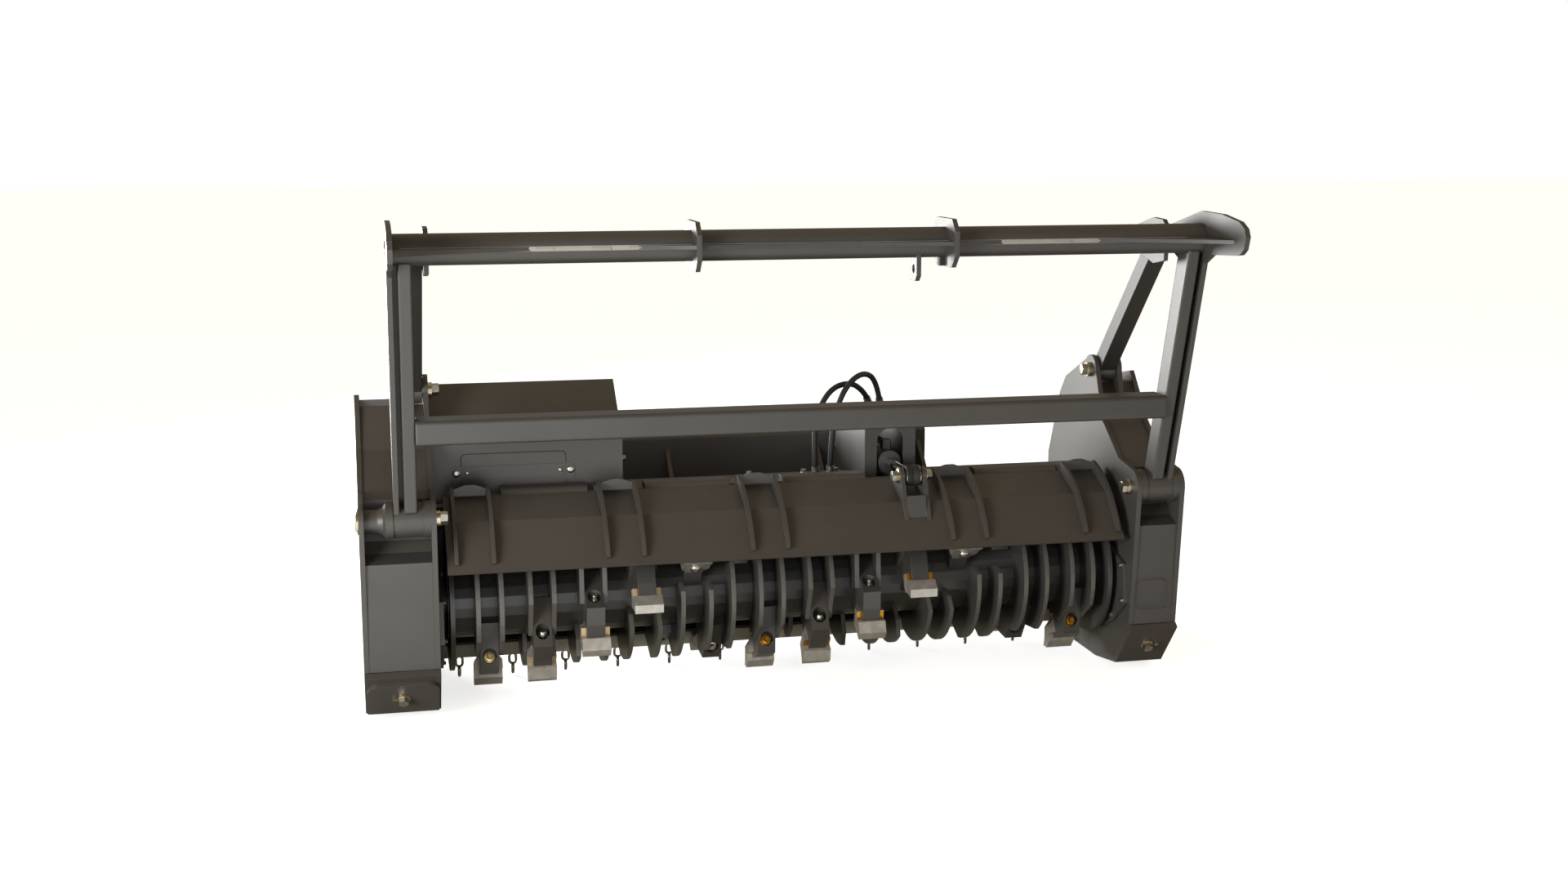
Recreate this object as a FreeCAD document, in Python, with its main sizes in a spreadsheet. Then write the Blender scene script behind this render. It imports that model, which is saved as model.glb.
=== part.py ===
# Front mount mulcher: a forestry mulching head with a push frame, a hinged hood and a
# full-width rotor. Millimetres, +X to the right seen from the front, front toward -Y,
# +Z up. The origin lies on the ground under the middle of the machine.
import FreeCAD, Part
import math
import os
import Sketcher

V = FreeCAD.Vector
X_AXIS, Y_AXIS, Z_AXIS = V(1, 0, 0), V(0, 1, 0), V(0, 0, 1)
ON_YZ = FreeCAD.Rotation(0.5, 0.5, 0.5, 0.5)
ALONG_X = FreeCAD.Rotation(Y_AXIS, 90)
ALONG_Y = FreeCAD.Rotation(X_AXIS, -90)

SIZES = {
    # widths across the machine
    "inner_gap": 1874, "side_plate": 13, "box_left": 165, "box_right": 112,
    # push frame pivots and top tube, in side view
    "pin_front_y": -157, "pin_front_z": 540, "pin_rear_y": 156, "pin_rear_z": 823,
    "pin_radius": 20, "head_radius": 48, "lug_radius": 42,
    "tube_y": -348, "tube_z": 1228, "tube_radius": 38, "tube_wall": 6,
    # side plate outline
    "toe_y": -173, "toe_z": 147, "keel_y": -82, "keel_z": 36, "ramp_y": 57,
    "heel_y": 400, "heel_z": 90, "back_y": 470, "shoulder_y": 386, "shoulder_z": 726,
    "crest_y": 343, "crest_z": 779, "brow_y": 55, "brow_z": 689, "cheek_y": -68,
    "cheek_z": 602, "shoe_thickness": 16, "cover_plate": 10,
    # rotor
    "rotor_y": 65, "rotor_z": 270, "drum_radius": 100, "drum_end_gap": 28,
    "shaft_radius": 32, "disc_radius": 187, "disc_thickness": 12, "tooth_inset_left": 103.6,
    "tooth_inset_right": 88.9, "tooth_count": 25, "tip_radius": 235, "tooth_width": 75, "holder_width": 48,
    "holder_radius": 202, "seat_gap": 0.3, "bolt_radius_at": 164, "recess_radius": 19,
    # hood
    "hinge_y": 47, "hinge_z": 548, "knuckle_radius": 22, "hinge_rod_radius": 9,
    "hood_clearance": 24, "hood_plate": 8, "bend_y": -88, "bend_z": 512,
    "lip_y": -183, "lip_z": 400, "rib_thickness": 10, "rib_spread": 94,
    "clevis_y": -58, "clevis_z": 578, "clevis_radius": 24, "clevis_pin": 12.5,
    "clevis_gap": 50, "clevis_plate": 12, "hood_cylinder_x": 366,
    # housing and hitch
    "deck_z": 530, "shell_plate": 10, "shell_deck_y": 300, "shell_back_y": 370,
    "shell_high_z": 400, "shell_mid_z": 230, "shell_low_y": 290, "shell_low_z": 120,
    "shell_lip_y": 233, "shell_lip_z": 95, "rail_height": 24, "rail_depth": 26,
    "chain_margin": 30, "hitch_y": 567, "hitch_plate": 10,
    "hitch_width": 1143, "hitch_top": 595, "hitch_height": 460,
    "tower_width": 148, "tower_front_y": 150, "tower_top": 705, "tower_plate": 12,
    "belt_width": 502, "belt_front_y": 97,
    # hood cylinder
    "barrel_radius": 30, "barrel_pin_y": 490, "barrel_pin_z": 572,
    "barrel_length": 335, "rod_radius": 14,
    # push frame members
    "upright_width": 32, "upright_depth": 62, "upright_wall": 5, "flange_plate": 13,
    "flange_gap": 13, "cross_height": 62, "cross_depth": 90, "cross_z": 774,
    "brace_size": 50, "boss_radius": 44, "boss_length": 75, "ring_width": 18,
    "hose_radius": 8,
}

doc = FreeCAD.newDocument("FrontMountMulcher")
sheet = doc.addObject("Spreadsheet::Sheet", "Sizes")
for row, (name, value) in enumerate(SIZES.items(), 1):
    sheet.set("A%d" % row, name)
    sheet.set("B%d" % row, str(value))
    sheet.setAlias("B%d" % row, name)
doc.recompute()


class Dim:
    """A length that knows its value and the spreadsheet expression behind it."""

    def __init__(self, value, text):
        self.value, self.text = float(value), text

    def __float__(self):
        return self.value

    def combine(self, other, sign, value, flip=False):
        left, right = (dim(other), self) if flip else (self, dim(other))
        return Dim(value, "(%s %s %s)" % (left.text, sign, right.text))

    def __add__(self, other):
        return self.combine(other, "+", self.value + float(other))

    def __radd__(self, other):
        return self.combine(other, "+", float(other) + self.value, True)

    def __sub__(self, other):
        return self.combine(other, "-", self.value - float(other))

    def __rsub__(self, other):
        return self.combine(other, "-", float(other) - self.value, True)

    def __mul__(self, other):
        return self.combine(other, "*", self.value * float(other))

    def __rmul__(self, other):
        return self.combine(other, "*", float(other) * self.value, True)

    def __truediv__(self, other):
        return self.combine(other, "/", self.value / float(other))

    def __neg__(self):
        return Dim(-self.value, "(-1 * %s)" % self.text)


def dim(number):
    return number if isinstance(number, Dim) else Dim(number, repr(float(number)))


class Sheet:
    """Reads the aliased cells as Dim values."""

    def __getattr__(self, alias):
        return Dim(sheet.get(alias), "Sizes." + alias)


S = Sheet()
parts = []


def named(obj, label):
    """Mark an object of the document as a finished piece."""
    obj.Label = label
    parts.append(obj)
    return obj


def bind(obj, **sizes):
    for prop, size in sizes.items():
        obj.setExpression(prop, dim(size).text)


def place(obj, x, y, z, rotation=None):
    obj.Placement = FreeCAD.Placement(V(float(x), float(y), float(z)),
                                      rotation or FreeCAD.Rotation())
    for axis, size in (("x", x), ("y", y), ("z", z)):
        obj.setExpression(".Placement.Base." + axis, dim(size).text)
    return obj


def box(x0, x1, y0, y1, z0, z1):
    """A block between two corners."""
    obj = doc.addObject("Part::Box", "Block")
    bind(obj, Length=dim(x1) - x0, Width=dim(y1) - y0, Height=dim(z1) - z0)
    return place(obj, x0, y0, z0)


def rod(x0, x1, y, z, radius):
    """A round bar along X."""
    obj = doc.addObject("Part::Cylinder", "Bar")
    bind(obj, Radius=radius, Height=dim(x1) - x0)
    return place(obj, x0, y, z, ALONG_X)


def cone(x0, x1, y, z, radius0, radius1):
    """A tapered bar along X."""
    obj = doc.addObject("Part::Cone", "Taper")
    bind(obj, Radius1=radius0, Radius2=radius1, Height=dim(x1) - x0)
    return place(obj, x0, y, z, ALONG_X)


def slab(x0, x1, points):
    """A plate across X whose outline is a list of (y, z) corners."""
    sketch = doc.addObject("Sketcher::SketchObject", "Outline")
    place(sketch, x0, 0, 0, ON_YZ)
    corners = [(dim(y), dim(z)) for y, z in points]
    count = len(corners)
    for i, (y, z) in enumerate(corners):
        y2, z2 = corners[(i + 1) % count]
        sketch.addGeometry(Part.LineSegment(V(y.value, z.value, 0), V(y2.value, z2.value, 0)))
    for i in range(count):
        sketch.addConstraint(Sketcher.Constraint("Coincident", i, 2, (i + 1) % count, 1))
    for i, (y, z) in enumerate(corners):
        for kind, size in (("DistanceX", y), ("DistanceY", z)):
            index = sketch.addConstraint(Sketcher.Constraint(kind, -1, 1, i, 1, size.value))
            sketch.setExpression("Constraints[%d]" % index, size.text)
    pad = doc.addObject("Part::Extrusion", "Plate")
    pad.Base = sketch
    pad.DirMode = "Normal"
    pad.Solid = True
    bind(pad, LengthFwd=dim(x1) - x0)
    return pad


def fuse(*shapes):
    obj = doc.addObject("Part::MultiFuse", "Joined")
    obj.Shapes = list(shapes)
    return obj


def cut(base, *tools):
    obj = doc.addObject("Part::Cut", "Cut")
    obj.Base = base
    obj.Tool = tools[0] if len(tools) == 1 else fuse(*tools)
    return obj


def group(*pieces):
    """Like pieces of one node, kept as separate solids."""
    obj = doc.addObject("Part::Compound", "Group")
    obj.Links = list(pieces)
    return obj


def feature(shape):
    obj = doc.addObject("Part::Feature", "Shape")
    obj.Shape = shape
    return obj


def strip_outline(points, thickness):
    """Closed outline of a plate bent along (y, z) points, its thickness to the left."""
    path = [V(0, float(y), float(z)) for y, z in points]
    normals = []
    for a, b in zip(path, path[1:]):
        run = (b - a).normalize()
        normals.append(V(0, -run.z, run.y))
    far = []
    for i, point in enumerate(path):
        before, after = normals[max(i - 1, 0)], normals[min(i, len(normals) - 1)]
        middle = (before + after).normalize()
        far.append(point + middle * (thickness / middle.dot(after)))
    return path + far[::-1]


def bent_plate(x0, x1, points, thickness):
    """A plate across X, bent along (y, z) points."""
    outline = strip_outline(points, float(thickness))
    shift = V(float(x0), 0, 0)
    wire = Part.makePolygon([p + shift for p in outline + outline[:1]])
    return feature(Part.Face(wire).extrude(V(float(x1) - float(x0), 0, 0)))


# stations across the machine
x_left = -1 * (S.box_left + S.inner_gap + S.box_right + S.side_plate * 4) / 2
left_outer = (x_left, x_left + S.side_plate)
left_inner = (left_outer[1] + S.box_left, left_outer[1] + S.box_left + S.side_plate)
right_inner = (left_inner[1] + S.inner_gap, left_inner[1] + S.inner_gap + S.side_plate)
right_outer = (right_inner[1] + S.box_right, right_inner[1] + S.box_right + S.side_plate)
x_mid = (left_inner[1] + right_inner[0]) / 2

# side plates
front_edge = [(S.pin_front_y, S.pin_front_z + S.head_radius),
              (S.pin_front_y - S.head_radius, S.pin_front_z),
              (S.toe_y, S.toe_z), (S.keel_y, S.keel_z), (S.ramp_y, S.shoe_thickness),
              (S.heel_y, S.shoe_thickness), (S.back_y, S.heel_z), (S.back_y, S.deck_z),
              (S.shoulder_y, S.shoulder_z), (S.crest_y, S.crest_z)]
lug_edge = [(S.pin_rear_y, S.pin_rear_z + S.lug_radius),
            (S.pin_rear_y - S.lug_radius, S.pin_rear_z)]
brow_edge = [(S.brow_y, S.brow_z), (S.cheek_y, S.cheek_z)]
plain_top = [(S.pin_rear_y + 6, S.pin_rear_z - 8)]


def side_plate(label, span, with_lug):
    outline = front_edge + (lug_edge if with_lug else plain_top) + brow_edge
    pieces = [slab(span[0], span[1], outline),
              rod(span[0], span[1], S.pin_front_y, S.pin_front_z, S.head_radius)]
    holes = [rod(span[0] - 1, span[1] + 1, S.pin_front_y, S.pin_front_z, S.pin_radius + 0.2)]
    if with_lug:
        pieces.append(rod(span[0], span[1], S.pin_rear_y, S.pin_rear_z, S.lug_radius))
        holes.append(rod(span[0] - 1, span[1] + 1, S.pin_rear_y, S.pin_rear_z,
                         S.pin_radius + 0.2))
    holes.append(rod(span[0] - 1, span[1] + 1, S.rotor_y, S.rotor_z, S.shaft_radius + 8))
    return named(cut(fuse(*pieces), *holes), label)


side_plate("side_plate_left_outer", left_outer, False)
side_plate("side_plate_left_inner", left_inner, True)
side_plate("side_plate_right_inner", right_inner, True)
side_plate("side_plate_right_outer", right_outer, False)

# one bent cover closes each side box: over the top, behind the pivot boss and down the front
cover_line = [(S.pin_rear_y + 160, S.pin_rear_z - 54), (S.pin_rear_y, S.pin_rear_z - 48),
              (S.brow_y + 8, S.brow_z - 14), (S.cheek_y + 4, S.cheek_z - 14),
              (S.pin_front_y + 62, S.pin_front_z + 36), (S.pin_front_y + 62, S.pin_front_z - 30),
              (S.pin_front_y + 50, S.pin_front_z - 66), (S.pin_front_y + 20, S.pin_front_z - 96),
              (S.pin_front_y - 22, S.pin_front_z - 112), (S.toe_y + 10, S.toe_z + 6)]


def box_cover(label, x0, x1):
    return named(bent_plate(x0, x1, cover_line, -S.cover_plate.value), label)


covers = [box_cover("side_box_cover_left", left_outer[1], left_inner[0]),
          box_cover("side_box_cover_right", right_inner[1], right_outer[0])]

# skid shoes under both boxes
toe_rise = 0.05
shoe_line = [(S.back_y, S.heel_z), (S.heel_y, S.shoe_thickness), (S.ramp_y, S.shoe_thickness),
             (S.keel_y, S.keel_z), (S.toe_y + (S.toe_y - S.keel_y) * toe_rise,
                                    S.toe_z + (S.toe_z - S.keel_z) * toe_rise)]
named(bent_plate(left_outer[0], left_inner[1], shoe_line, S.shoe_thickness), "skid_shoe_left")
named(bent_plate(right_inner[0], right_outer[1], shoe_line, S.shoe_thickness), "skid_shoe_right")

# thick pad with rounded corners on the slope of the left shoe
slope = V(0, (S.toe_y - S.keel_y).value, (S.toe_z - S.keel_z).value)
pad_width = (left_inner[1] - left_outer[0]).value - 10
wear_pad = Part.makeBox(pad_width, slope.Length - 22, 12)
upright_edges = [e for e in wear_pad.Edges if abs(e.tangentAt(0).z) > 0.9]
upper = [e for e in upright_edges if e.CenterOfMass.y > slope.Length / 2]
wear_pad = wear_pad.makeFillet(30, upper)
face_out = V(0, -slope.z, slope.y).normalize() * S.shoe_thickness.value
start = V(left_outer[0].value + 5, S.keel_y.value, S.keel_z.value) + face_out
start += slope.normalize() * 6
wear_pad.Placement = FreeCAD.Placement(start, FreeCAD.Rotation(
    X_AXIS, math.degrees(math.atan2(slope.z, slope.y))))
named(feature(wear_pad), "skid_wear_pad")

# rotor housing behind and above the rotor
shell_line = [(S.hinge_y + 26, S.deck_z), (S.shell_deck_y, S.deck_z),
              (S.shell_back_y, S.shell_high_z), (S.shell_back_y, S.shell_mid_z),
              (S.shell_low_y, S.shell_low_z), (S.shell_lip_y, S.shell_lip_z)]
named(bent_plate(left_inner[1], right_inner[0], shell_line, -S.shell_plate.value), "rotor_housing")

# chain rail and curtain at the foot of the housing
rail_top = S.shell_lip_z - S.shell_plate
rail_foot = rail_top - S.rail_height
named(box(left_inner[1], right_inner[0], S.shell_lip_y, S.shell_lip_y + S.rail_depth,
          rail_foot, rail_top), "chain_rail")


def chain_link(x, y, z, width, height, bar, turned):
    """A link as a flat ring of square bar, either across or along the curtain."""
    if turned:
        outer = Part.makeBox(bar, width, height, V(x - bar / 2, y - width / 2, z - height))
        inner = Part.makeBox(bar + 2, width - 2 * bar, height - 2 * bar,
                             V(x - bar / 2 - 1, y - width / 2 + bar, z - height + bar))
    else:
        outer = Part.makeBox(width, bar, height, V(x - width / 2, y - bar / 2, z - height))
        inner = Part.makeBox(width - 2 * bar, bar + 2, height - 2 * bar,
                             V(x - width / 2 + bar, y - bar / 2 - 1, z - height + bar))
    return outer.cut(inner)


strands = 38
links = []
chain_y = S.shell_lip_y.value + S.rail_depth.value / 2
chain_top = rail_foot.value
chain_pitch = (S.inner_gap.value - 2 * S.chain_margin.value) / (strands - 1)
for i in range(strands):
    x = left_inner[1].value + S.chain_margin.value + i * chain_pitch
    links.append(chain_link(x, chain_y, chain_top, 24, 30, 6, False))
    links.append(chain_link(x, chain_y, chain_top - 18, 22, 34, 6, True))
named(feature(Part.makeCompound(links)), "chain_curtain")

# hitch plate and the ribs that carry it
hitch_left = x_mid - S.hitch_width / 2
hitch_right = x_mid + S.hitch_width / 2
hitch_bottom = S.hitch_top - S.hitch_height
hitch_line = [(S.hitch_y + 30, S.hitch_top + 26), (S.hitch_y, S.hitch_top),
              (S.hitch_y, hitch_bottom), (S.hitch_y + 24, hitch_bottom - 26)]
named(bent_plate(hitch_left, hitch_right, hitch_line[::-1], -S.hitch_plate.value), "hitch_plate")
rib_front = S.shell_back_y + S.shell_plate
ribs = []
for offset in (0.02, 0.3, 0.7, 0.98):
    x = hitch_left + S.hitch_width * offset
    ribs.append(slab(x - 6, x + 6, [(rib_front, S.shell_mid_z + 10), (S.hitch_y, hitch_bottom + 30),
                                    (S.hitch_y, S.hitch_top - 30),
                                    (rib_front, S.shell_high_z - 10)]))
named(group(*ribs), "hitch_ribs")

# tower that carries the hood cylinder
tower_x0 = S.hood_cylinder_x - S.tower_width / 2
tower_x1 = S.hood_cylinder_x + S.tower_width / 2
tower_side = [(S.tower_front_y, S.deck_z), (S.tower_front_y, S.tower_top),
              (S.tower_front_y + 250, S.tower_top), (S.hitch_y, S.hitch_top - 10),
              (S.hitch_y, S.deck_z - 60), (rib_front, S.shell_high_z),
              (S.shell_deck_y + S.shell_plate, S.deck_z)]
tower_shell = slab(tower_x0, tower_x1, tower_side)
tower_hollow = slab(tower_x0 + S.tower_plate, tower_x1 - S.tower_plate,
                    [(S.tower_front_y + S.tower_plate, S.deck_z - 200),
                     (S.tower_front_y + S.tower_plate, S.tower_top - S.tower_plate),
                     (S.hitch_y + 20, S.tower_top - S.tower_plate),
                     (S.hitch_y + 20, S.deck_z - 200)])
slot = box(S.hood_cylinder_x - 39, S.hood_cylinder_x + 39, S.tower_front_y - 5,
           S.tower_front_y + S.tower_plate + 5, S.deck_z - 5, S.tower_top - 70)
arch = doc.addObject("Part::Cylinder", "Arch")
bind(arch, Radius=39, Height=S.tower_plate + 10)
place(arch, S.hood_cylinder_x, S.tower_front_y - 5, S.tower_top - 70, ALONG_Y)
pin_hole = rod(tower_x0 - 5, tower_x1 + 5, S.barrel_pin_y, S.barrel_pin_z, S.clevis_pin + 0.2)
named(cut(tower_shell, tower_hollow, slot, arch, pin_hole), "cylinder_tower")

# drive cover: the box over the motor and belt at the left
belt_x1 = left_inner[1] + S.belt_width
belt_line = [(S.belt_front_y, S.deck_z), (S.belt_front_y, S.pin_rear_z - 141),
             (S.pin_rear_y + 114, S.pin_rear_z - 1), (S.pin_rear_y + 264, S.shoulder_z + 20),
             (S.back_y - 10, S.deck_z)]
belt_shell = bent_plate(left_inner[1], belt_x1, belt_line, -8)
named(belt_shell, "drive_cover")
belt_cap = slab(belt_x1, belt_x1 + 8, belt_line)
named(belt_cap, "drive_cover_end")
named(box(left_inner[1] + 90, left_inner[1] + 345, S.belt_front_y - 6, S.belt_front_y,
          S.deck_z + 16, S.deck_z + 126), "access_panel")

# deck cover plate behind the hinge
named(box(x_mid - 80, x_mid + 230, S.rotor_y + 60, S.rotor_y + 200, S.deck_z, S.deck_z + 8),
      "deck_cover_plate")

# rotor
drum_x0 = left_inner[1] + S.drum_end_gap
drum_x1 = right_inner[0] - S.drum_end_gap
drum_sides = 24
drum = doc.addObject("Part::Prism", "Drum")
drum.Polygon = drum_sides
bind(drum, Circumradius=S.drum_radius, Height=drum_x1 - drum_x0)
place(drum, drum_x0, S.rotor_y, S.rotor_z, ALONG_X)
shaft = rod(left_inner[0] - 40, right_inner[1] + 30, S.rotor_y, S.rotor_z, S.shaft_radius)
named(fuse(drum, shaft), "rotor_drum")
drum_tool = doc.addObject("Part::Prism", "DrumSpace")
drum_tool.Polygon = drum_sides
bind(drum_tool, Circumradius=S.drum_radius + S.seat_gap, Height=drum_x1 - drum_x0 + 20)
place(drum_tool, drum_x0 - 10, S.rotor_y, S.rotor_z, ALONG_X)


def polar(radius, degrees):
    """A point of the rotor's side view, 0 degrees to the front and +90 up."""
    turn = math.radians(degrees)
    return V(0, -radius * math.cos(turn), radius * math.sin(turn))


def arc_edge(a, b, c):
    return Part.Arc(a, b, c).toShape()


def block_face(corners):
    return Part.Face(Part.makePolygon(corners + corners[:1]))


def limiter_plate(end):
    """Bite limiter: a half-moon that follows one tooth and stops at an angle behind it."""
    outer = S.disc_radius.value
    inner = S.drum_radius.value - 6
    facets = 13
    rim = [polar(outer, 42 + (end - 42) * step / facets) for step in range(facets + 1)]
    hub = [polar(inner, end + 8 - (end + 4) * step / facets) for step in range(facets + 1)]
    corners = [polar(outer * 0.87, 9), polar(outer * 0.87, 22)] + rim
    corners += [polar(outer * 0.8, end + 8)] + hub
    return block_face(corners).extrude(V(S.disc_thickness.value, 0, 0))


def tooth_station(index):
    """X and angle of a tooth: odd teeth stand nearly opposite the even ones."""
    first = (drum_x0 + S.tooth_inset_left).value
    pitch = ((drum_x1 - S.tooth_inset_right).value - first) / (S.tooth_count.value - 1)
    return (first + index * pitch,
            -65 + 15 * index + (195 if index % 2 else 0))


def at_station(shape, index, shift=0.0):
    x, angle = tooth_station(index)
    turned = shape.copy()
    turned.translate(V(shift, 0, 0))
    turned.rotate(V(0, 0, 0), X_AXIS, -angle)
    turned.translate(V(x, S.rotor_y.value, S.rotor_z.value))
    return turned


def profile(points, width):
    """A block across X whose side view is a list of (outward, trailing) corners."""
    corners = [V(0, -out, trail) for out, trail in points]
    return block_face(corners).extrude(V(width, 0, 0))


# in the tooth frame the tooth points to -Y and leads toward -Z
tip = S.tip_radius.value
crown = S.holder_radius.value
wide = S.holder_width.value
gap = S.seat_gap.value
ledge = crown - 16
seat = -wide * 2 / 3
tongue = -wide * 1.15
bolt_at = S.bolt_radius_at.value
holder = profile([(65, 70), (84, 90), (crown - 2, 26), (crown - 1, -22), (crown - 4, tongue),
                  (ledge, tongue), (ledge, seat), (crown * 0.65, seat),
                  (crown * 0.63, seat - 26), (62, -62)], wide)
recess_ring = [V(wide / 2 + S.recess_radius.value * math.cos(math.radians(step)),
                 -bolt_at + S.recess_radius.value * math.sin(math.radians(step)), 20)
               for step in range(0, 360, 20)]
recess = block_face(recess_ring).extrude(V(0, 0, 120))
holder = holder.cut(recess)
tooth = profile([(crown * 0.66, seat - gap), (ledge - gap, seat - gap),
                 (ledge - gap, tongue - gap), (tip - 29, tongue - gap), (tip - 15, -84),
                 (tip - 25, -104), (tip - 50, -87), (tip - 76, -77), (crown * 0.66, seat - 34)],
                S.tooth_width.value)
waist, brow = (S.tooth_width.value - wide) / 2, S.tooth_width.value - (S.tooth_width.value - wide) / 2
tooth = tooth.common(Part.Face(Part.makePolygon([V(x, -out, -150) for x, out in (
    (waist, 60), (brow, 60), (brow, crown * 0.71), (S.tooth_width.value, crown * 0.8),
    (S.tooth_width.value, tip + 20), (0, tip + 20), (0, crown * 0.8), (waist, crown * 0.71),
    (waist, 60))])).extrude(V(0, 0, 150)))
limiters, holders, teeth = [], [], []
plate_shift = wide / 2 + S.seat_gap.value
for i in range(int(S.tooth_count.value)):
    # the plate beside an odd tooth's left neighbour stops short of that neighbour's tooth
    left_end = 106 if i % 2 else 136
    limiters.append(at_station(limiter_plate(left_end), i,
                               -plate_shift - S.disc_thickness.value))
    limiters.append(at_station(limiter_plate(136), i, plate_shift))
    holders.append(at_station(holder, i, -wide / 2))
    teeth.append(at_station(tooth, i, -S.tooth_width.value / 2))
named(cut(feature(Part.makeCompound(limiters)), drum_tool), "bite_limiters")
named(cut(feature(Part.makeCompound(holders)), drum_tool), "tooth_holders")
named(feature(Part.makeCompound(teeth)), "teeth")
end_discs = []
for x in (drum_x0 + 2, drum_x1 - 2 - S.disc_thickness):
    end_discs.append(cut(rod(x, x + S.disc_thickness, S.rotor_y, S.rotor_z, S.disc_radius),
                         rod(x - 1, x + S.disc_thickness + 1, S.rotor_y, S.rotor_z,
                             S.drum_radius + S.seat_gap)))
named(group(*end_discs), "rotor_end_discs")


def bearing(label, x0, x1, plate_x0, plate_x1):
    """A round bearing housing on a wide flange against the inner plate."""
    half = [(60, 92), (214, 50), (232, -57), (152, -125), (75, -165)]
    outline = [(S.rotor_y - across, S.rotor_z + rise) for across, rise in half]
    outline += [(S.rotor_y + across, S.rotor_z + rise) for across, rise in half[::-1]]
    named(cut(fuse(rod(x0, x1, S.rotor_y, S.rotor_z, S.shaft_radius + 30),
                   slab(plate_x0, plate_x1, outline)),
              rod(x0 - 1, x1 + 1, S.rotor_y, S.rotor_z, S.shaft_radius + 0.05)), label)


bearing("rotor_bearing_left", left_inner[1], drum_x0 - 6, left_inner[1], left_inner[1] + 12)
bearing("rotor_bearing_right", drum_x1 + 6, right_inner[0], right_inner[0] - 12, right_inner[0])

# hood
hood_x0 = left_inner[1] + S.hood_clearance
hood_x1 = right_inner[0] - S.hood_clearance
hood_top_y = S.hinge_y - S.knuckle_radius - 4
hood_top_z = S.hinge_z + 9
hood_line = [(hood_top_y, hood_top_z), (S.bend_y, S.bend_z), (S.lip_y, S.lip_z)]
hood_slope = (hood_top_z - S.bend_z) / (hood_top_y - S.bend_y)
named(bent_plate(hood_x0, hood_x1, hood_line, S.hood_plate), "hood_plate")
hood_width = hood_x1 - hood_x0
rib_centres = [x_mid + hood_width * part for part in (-0.4614, -0.2506, -0.0419, 0.2585, 0.4658)]


def hood_rib(x):
    """A curved bar that stiffens the hood plate along its bend."""
    a = V(x, hood_top_y.value, hood_top_z.value)
    b = V(x, S.bend_y.value, S.bend_z.value)
    c = b + (V(x, S.lip_y.value, S.lip_z.value) - b) * 0.86
    foot_end, head_end = c + V(0, -9, 7), a + V(0, -1, 26)
    edges = [Part.makeLine(a, b), Part.makeLine(b, c), Part.makeLine(c, foot_end),
             arc_edge(foot_end, b + V(0, -10, 15), head_end), Part.makeLine(head_end, a)]
    return Part.Face(Part.Wire(edges)).extrude(V(S.rib_thickness.value, 0, 0))


hood_ribs = []
for centre in rib_centres:
    for side in (-0.5, 0.5):
        hood_ribs.append(hood_rib((centre + S.rib_spread * side - S.rib_thickness / 2).value))
    # a short end plate with cut corners stands between the two ribs of a pair
    half = (S.rib_spread - S.rib_thickness).value / 2
    corners = [V(centre.value + x, hood_top_y.value - 8, hood_top_z.value + z) for x, z in (
        (-half, 2.5), (half, 2.5), (half, 22), (half - 30, 32), (30 - half, 32), (-half, 22))]
    hood_ribs.append(block_face(corners).extrude(V(0, 7, 0)))
named(feature(Part.makeCompound(hood_ribs)), "hood_ribs")
rod_bore = rod(hood_x0, hood_x1, S.hinge_y, S.hinge_z, S.hinge_rod_radius + 0.08)
hood_knuckles = []
web_drop = S.hood_plate * math.cos(math.atan(hood_slope.value))
web_step = S.hood_plate * math.sin(math.atan(hood_slope.value))
for c in rib_centres:
    hood_knuckles.append(rod(c - 56, c + 56, S.hinge_y, S.hinge_z, S.knuckle_radius))
    hood_knuckles.append(slab(c - 40, c + 40, [(hood_top_y, hood_top_z),
                                               (hood_top_y + web_step, hood_top_z - web_drop),
                                               (S.hinge_y, hood_top_z - web_drop),
                                               (S.hinge_y, hood_top_z)]))
named(cut(fuse(*hood_knuckles), rod_bore), "hood_knuckles")
named(rod(hood_x0, hood_x1, S.hinge_y, S.hinge_z, S.hinge_rod_radius), "hinge_rod")
fixed_parts = [(-0.4165, -0.2911), (-0.2067, -0.0813), (0.0008, 0.1284), (0.3015, 0.4329)]
fixed = []
for part0, part1 in fixed_parts:
    x0, x1 = x_mid + hood_width * part0, x_mid + hood_width * part1
    fixed.append(rod(x0, x1, S.hinge_y, S.hinge_z, S.knuckle_radius))
    fixed.append(box(x0, x1, S.hinge_y, S.hinge_y + 34, S.deck_z, S.hinge_z + S.knuckle_radius))
named(cut(fuse(*fixed), rod(hood_x0, hood_x1, S.hinge_y, S.hinge_z, S.hinge_rod_radius + 0.08)),
      "hinge_knuckles")

# clevis on the hood for the rod's eye
clevis = []
clevis_half = S.clevis_gap / 2
lug_back = S.clevis_y + 50
for x0 in (S.hood_cylinder_x - clevis_half - S.clevis_plate, S.hood_cylinder_x + clevis_half):
    x1 = x0 + S.clevis_plate
    clevis.append(fuse(slab(x0, x1, [(S.clevis_y - S.clevis_radius, S.clevis_z),
                                     (S.bend_y - 40, S.bend_z - 44), (S.bend_y, S.bend_z),
                                     (lug_back, S.bend_z + (lug_back - S.bend_y) * hood_slope),
                                     (lug_back, S.bend_z + 42),
                                     (S.clevis_y + S.clevis_radius, S.clevis_z)]),
                       rod(x0, x1, S.clevis_y, S.clevis_z, S.clevis_radius)))
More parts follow.
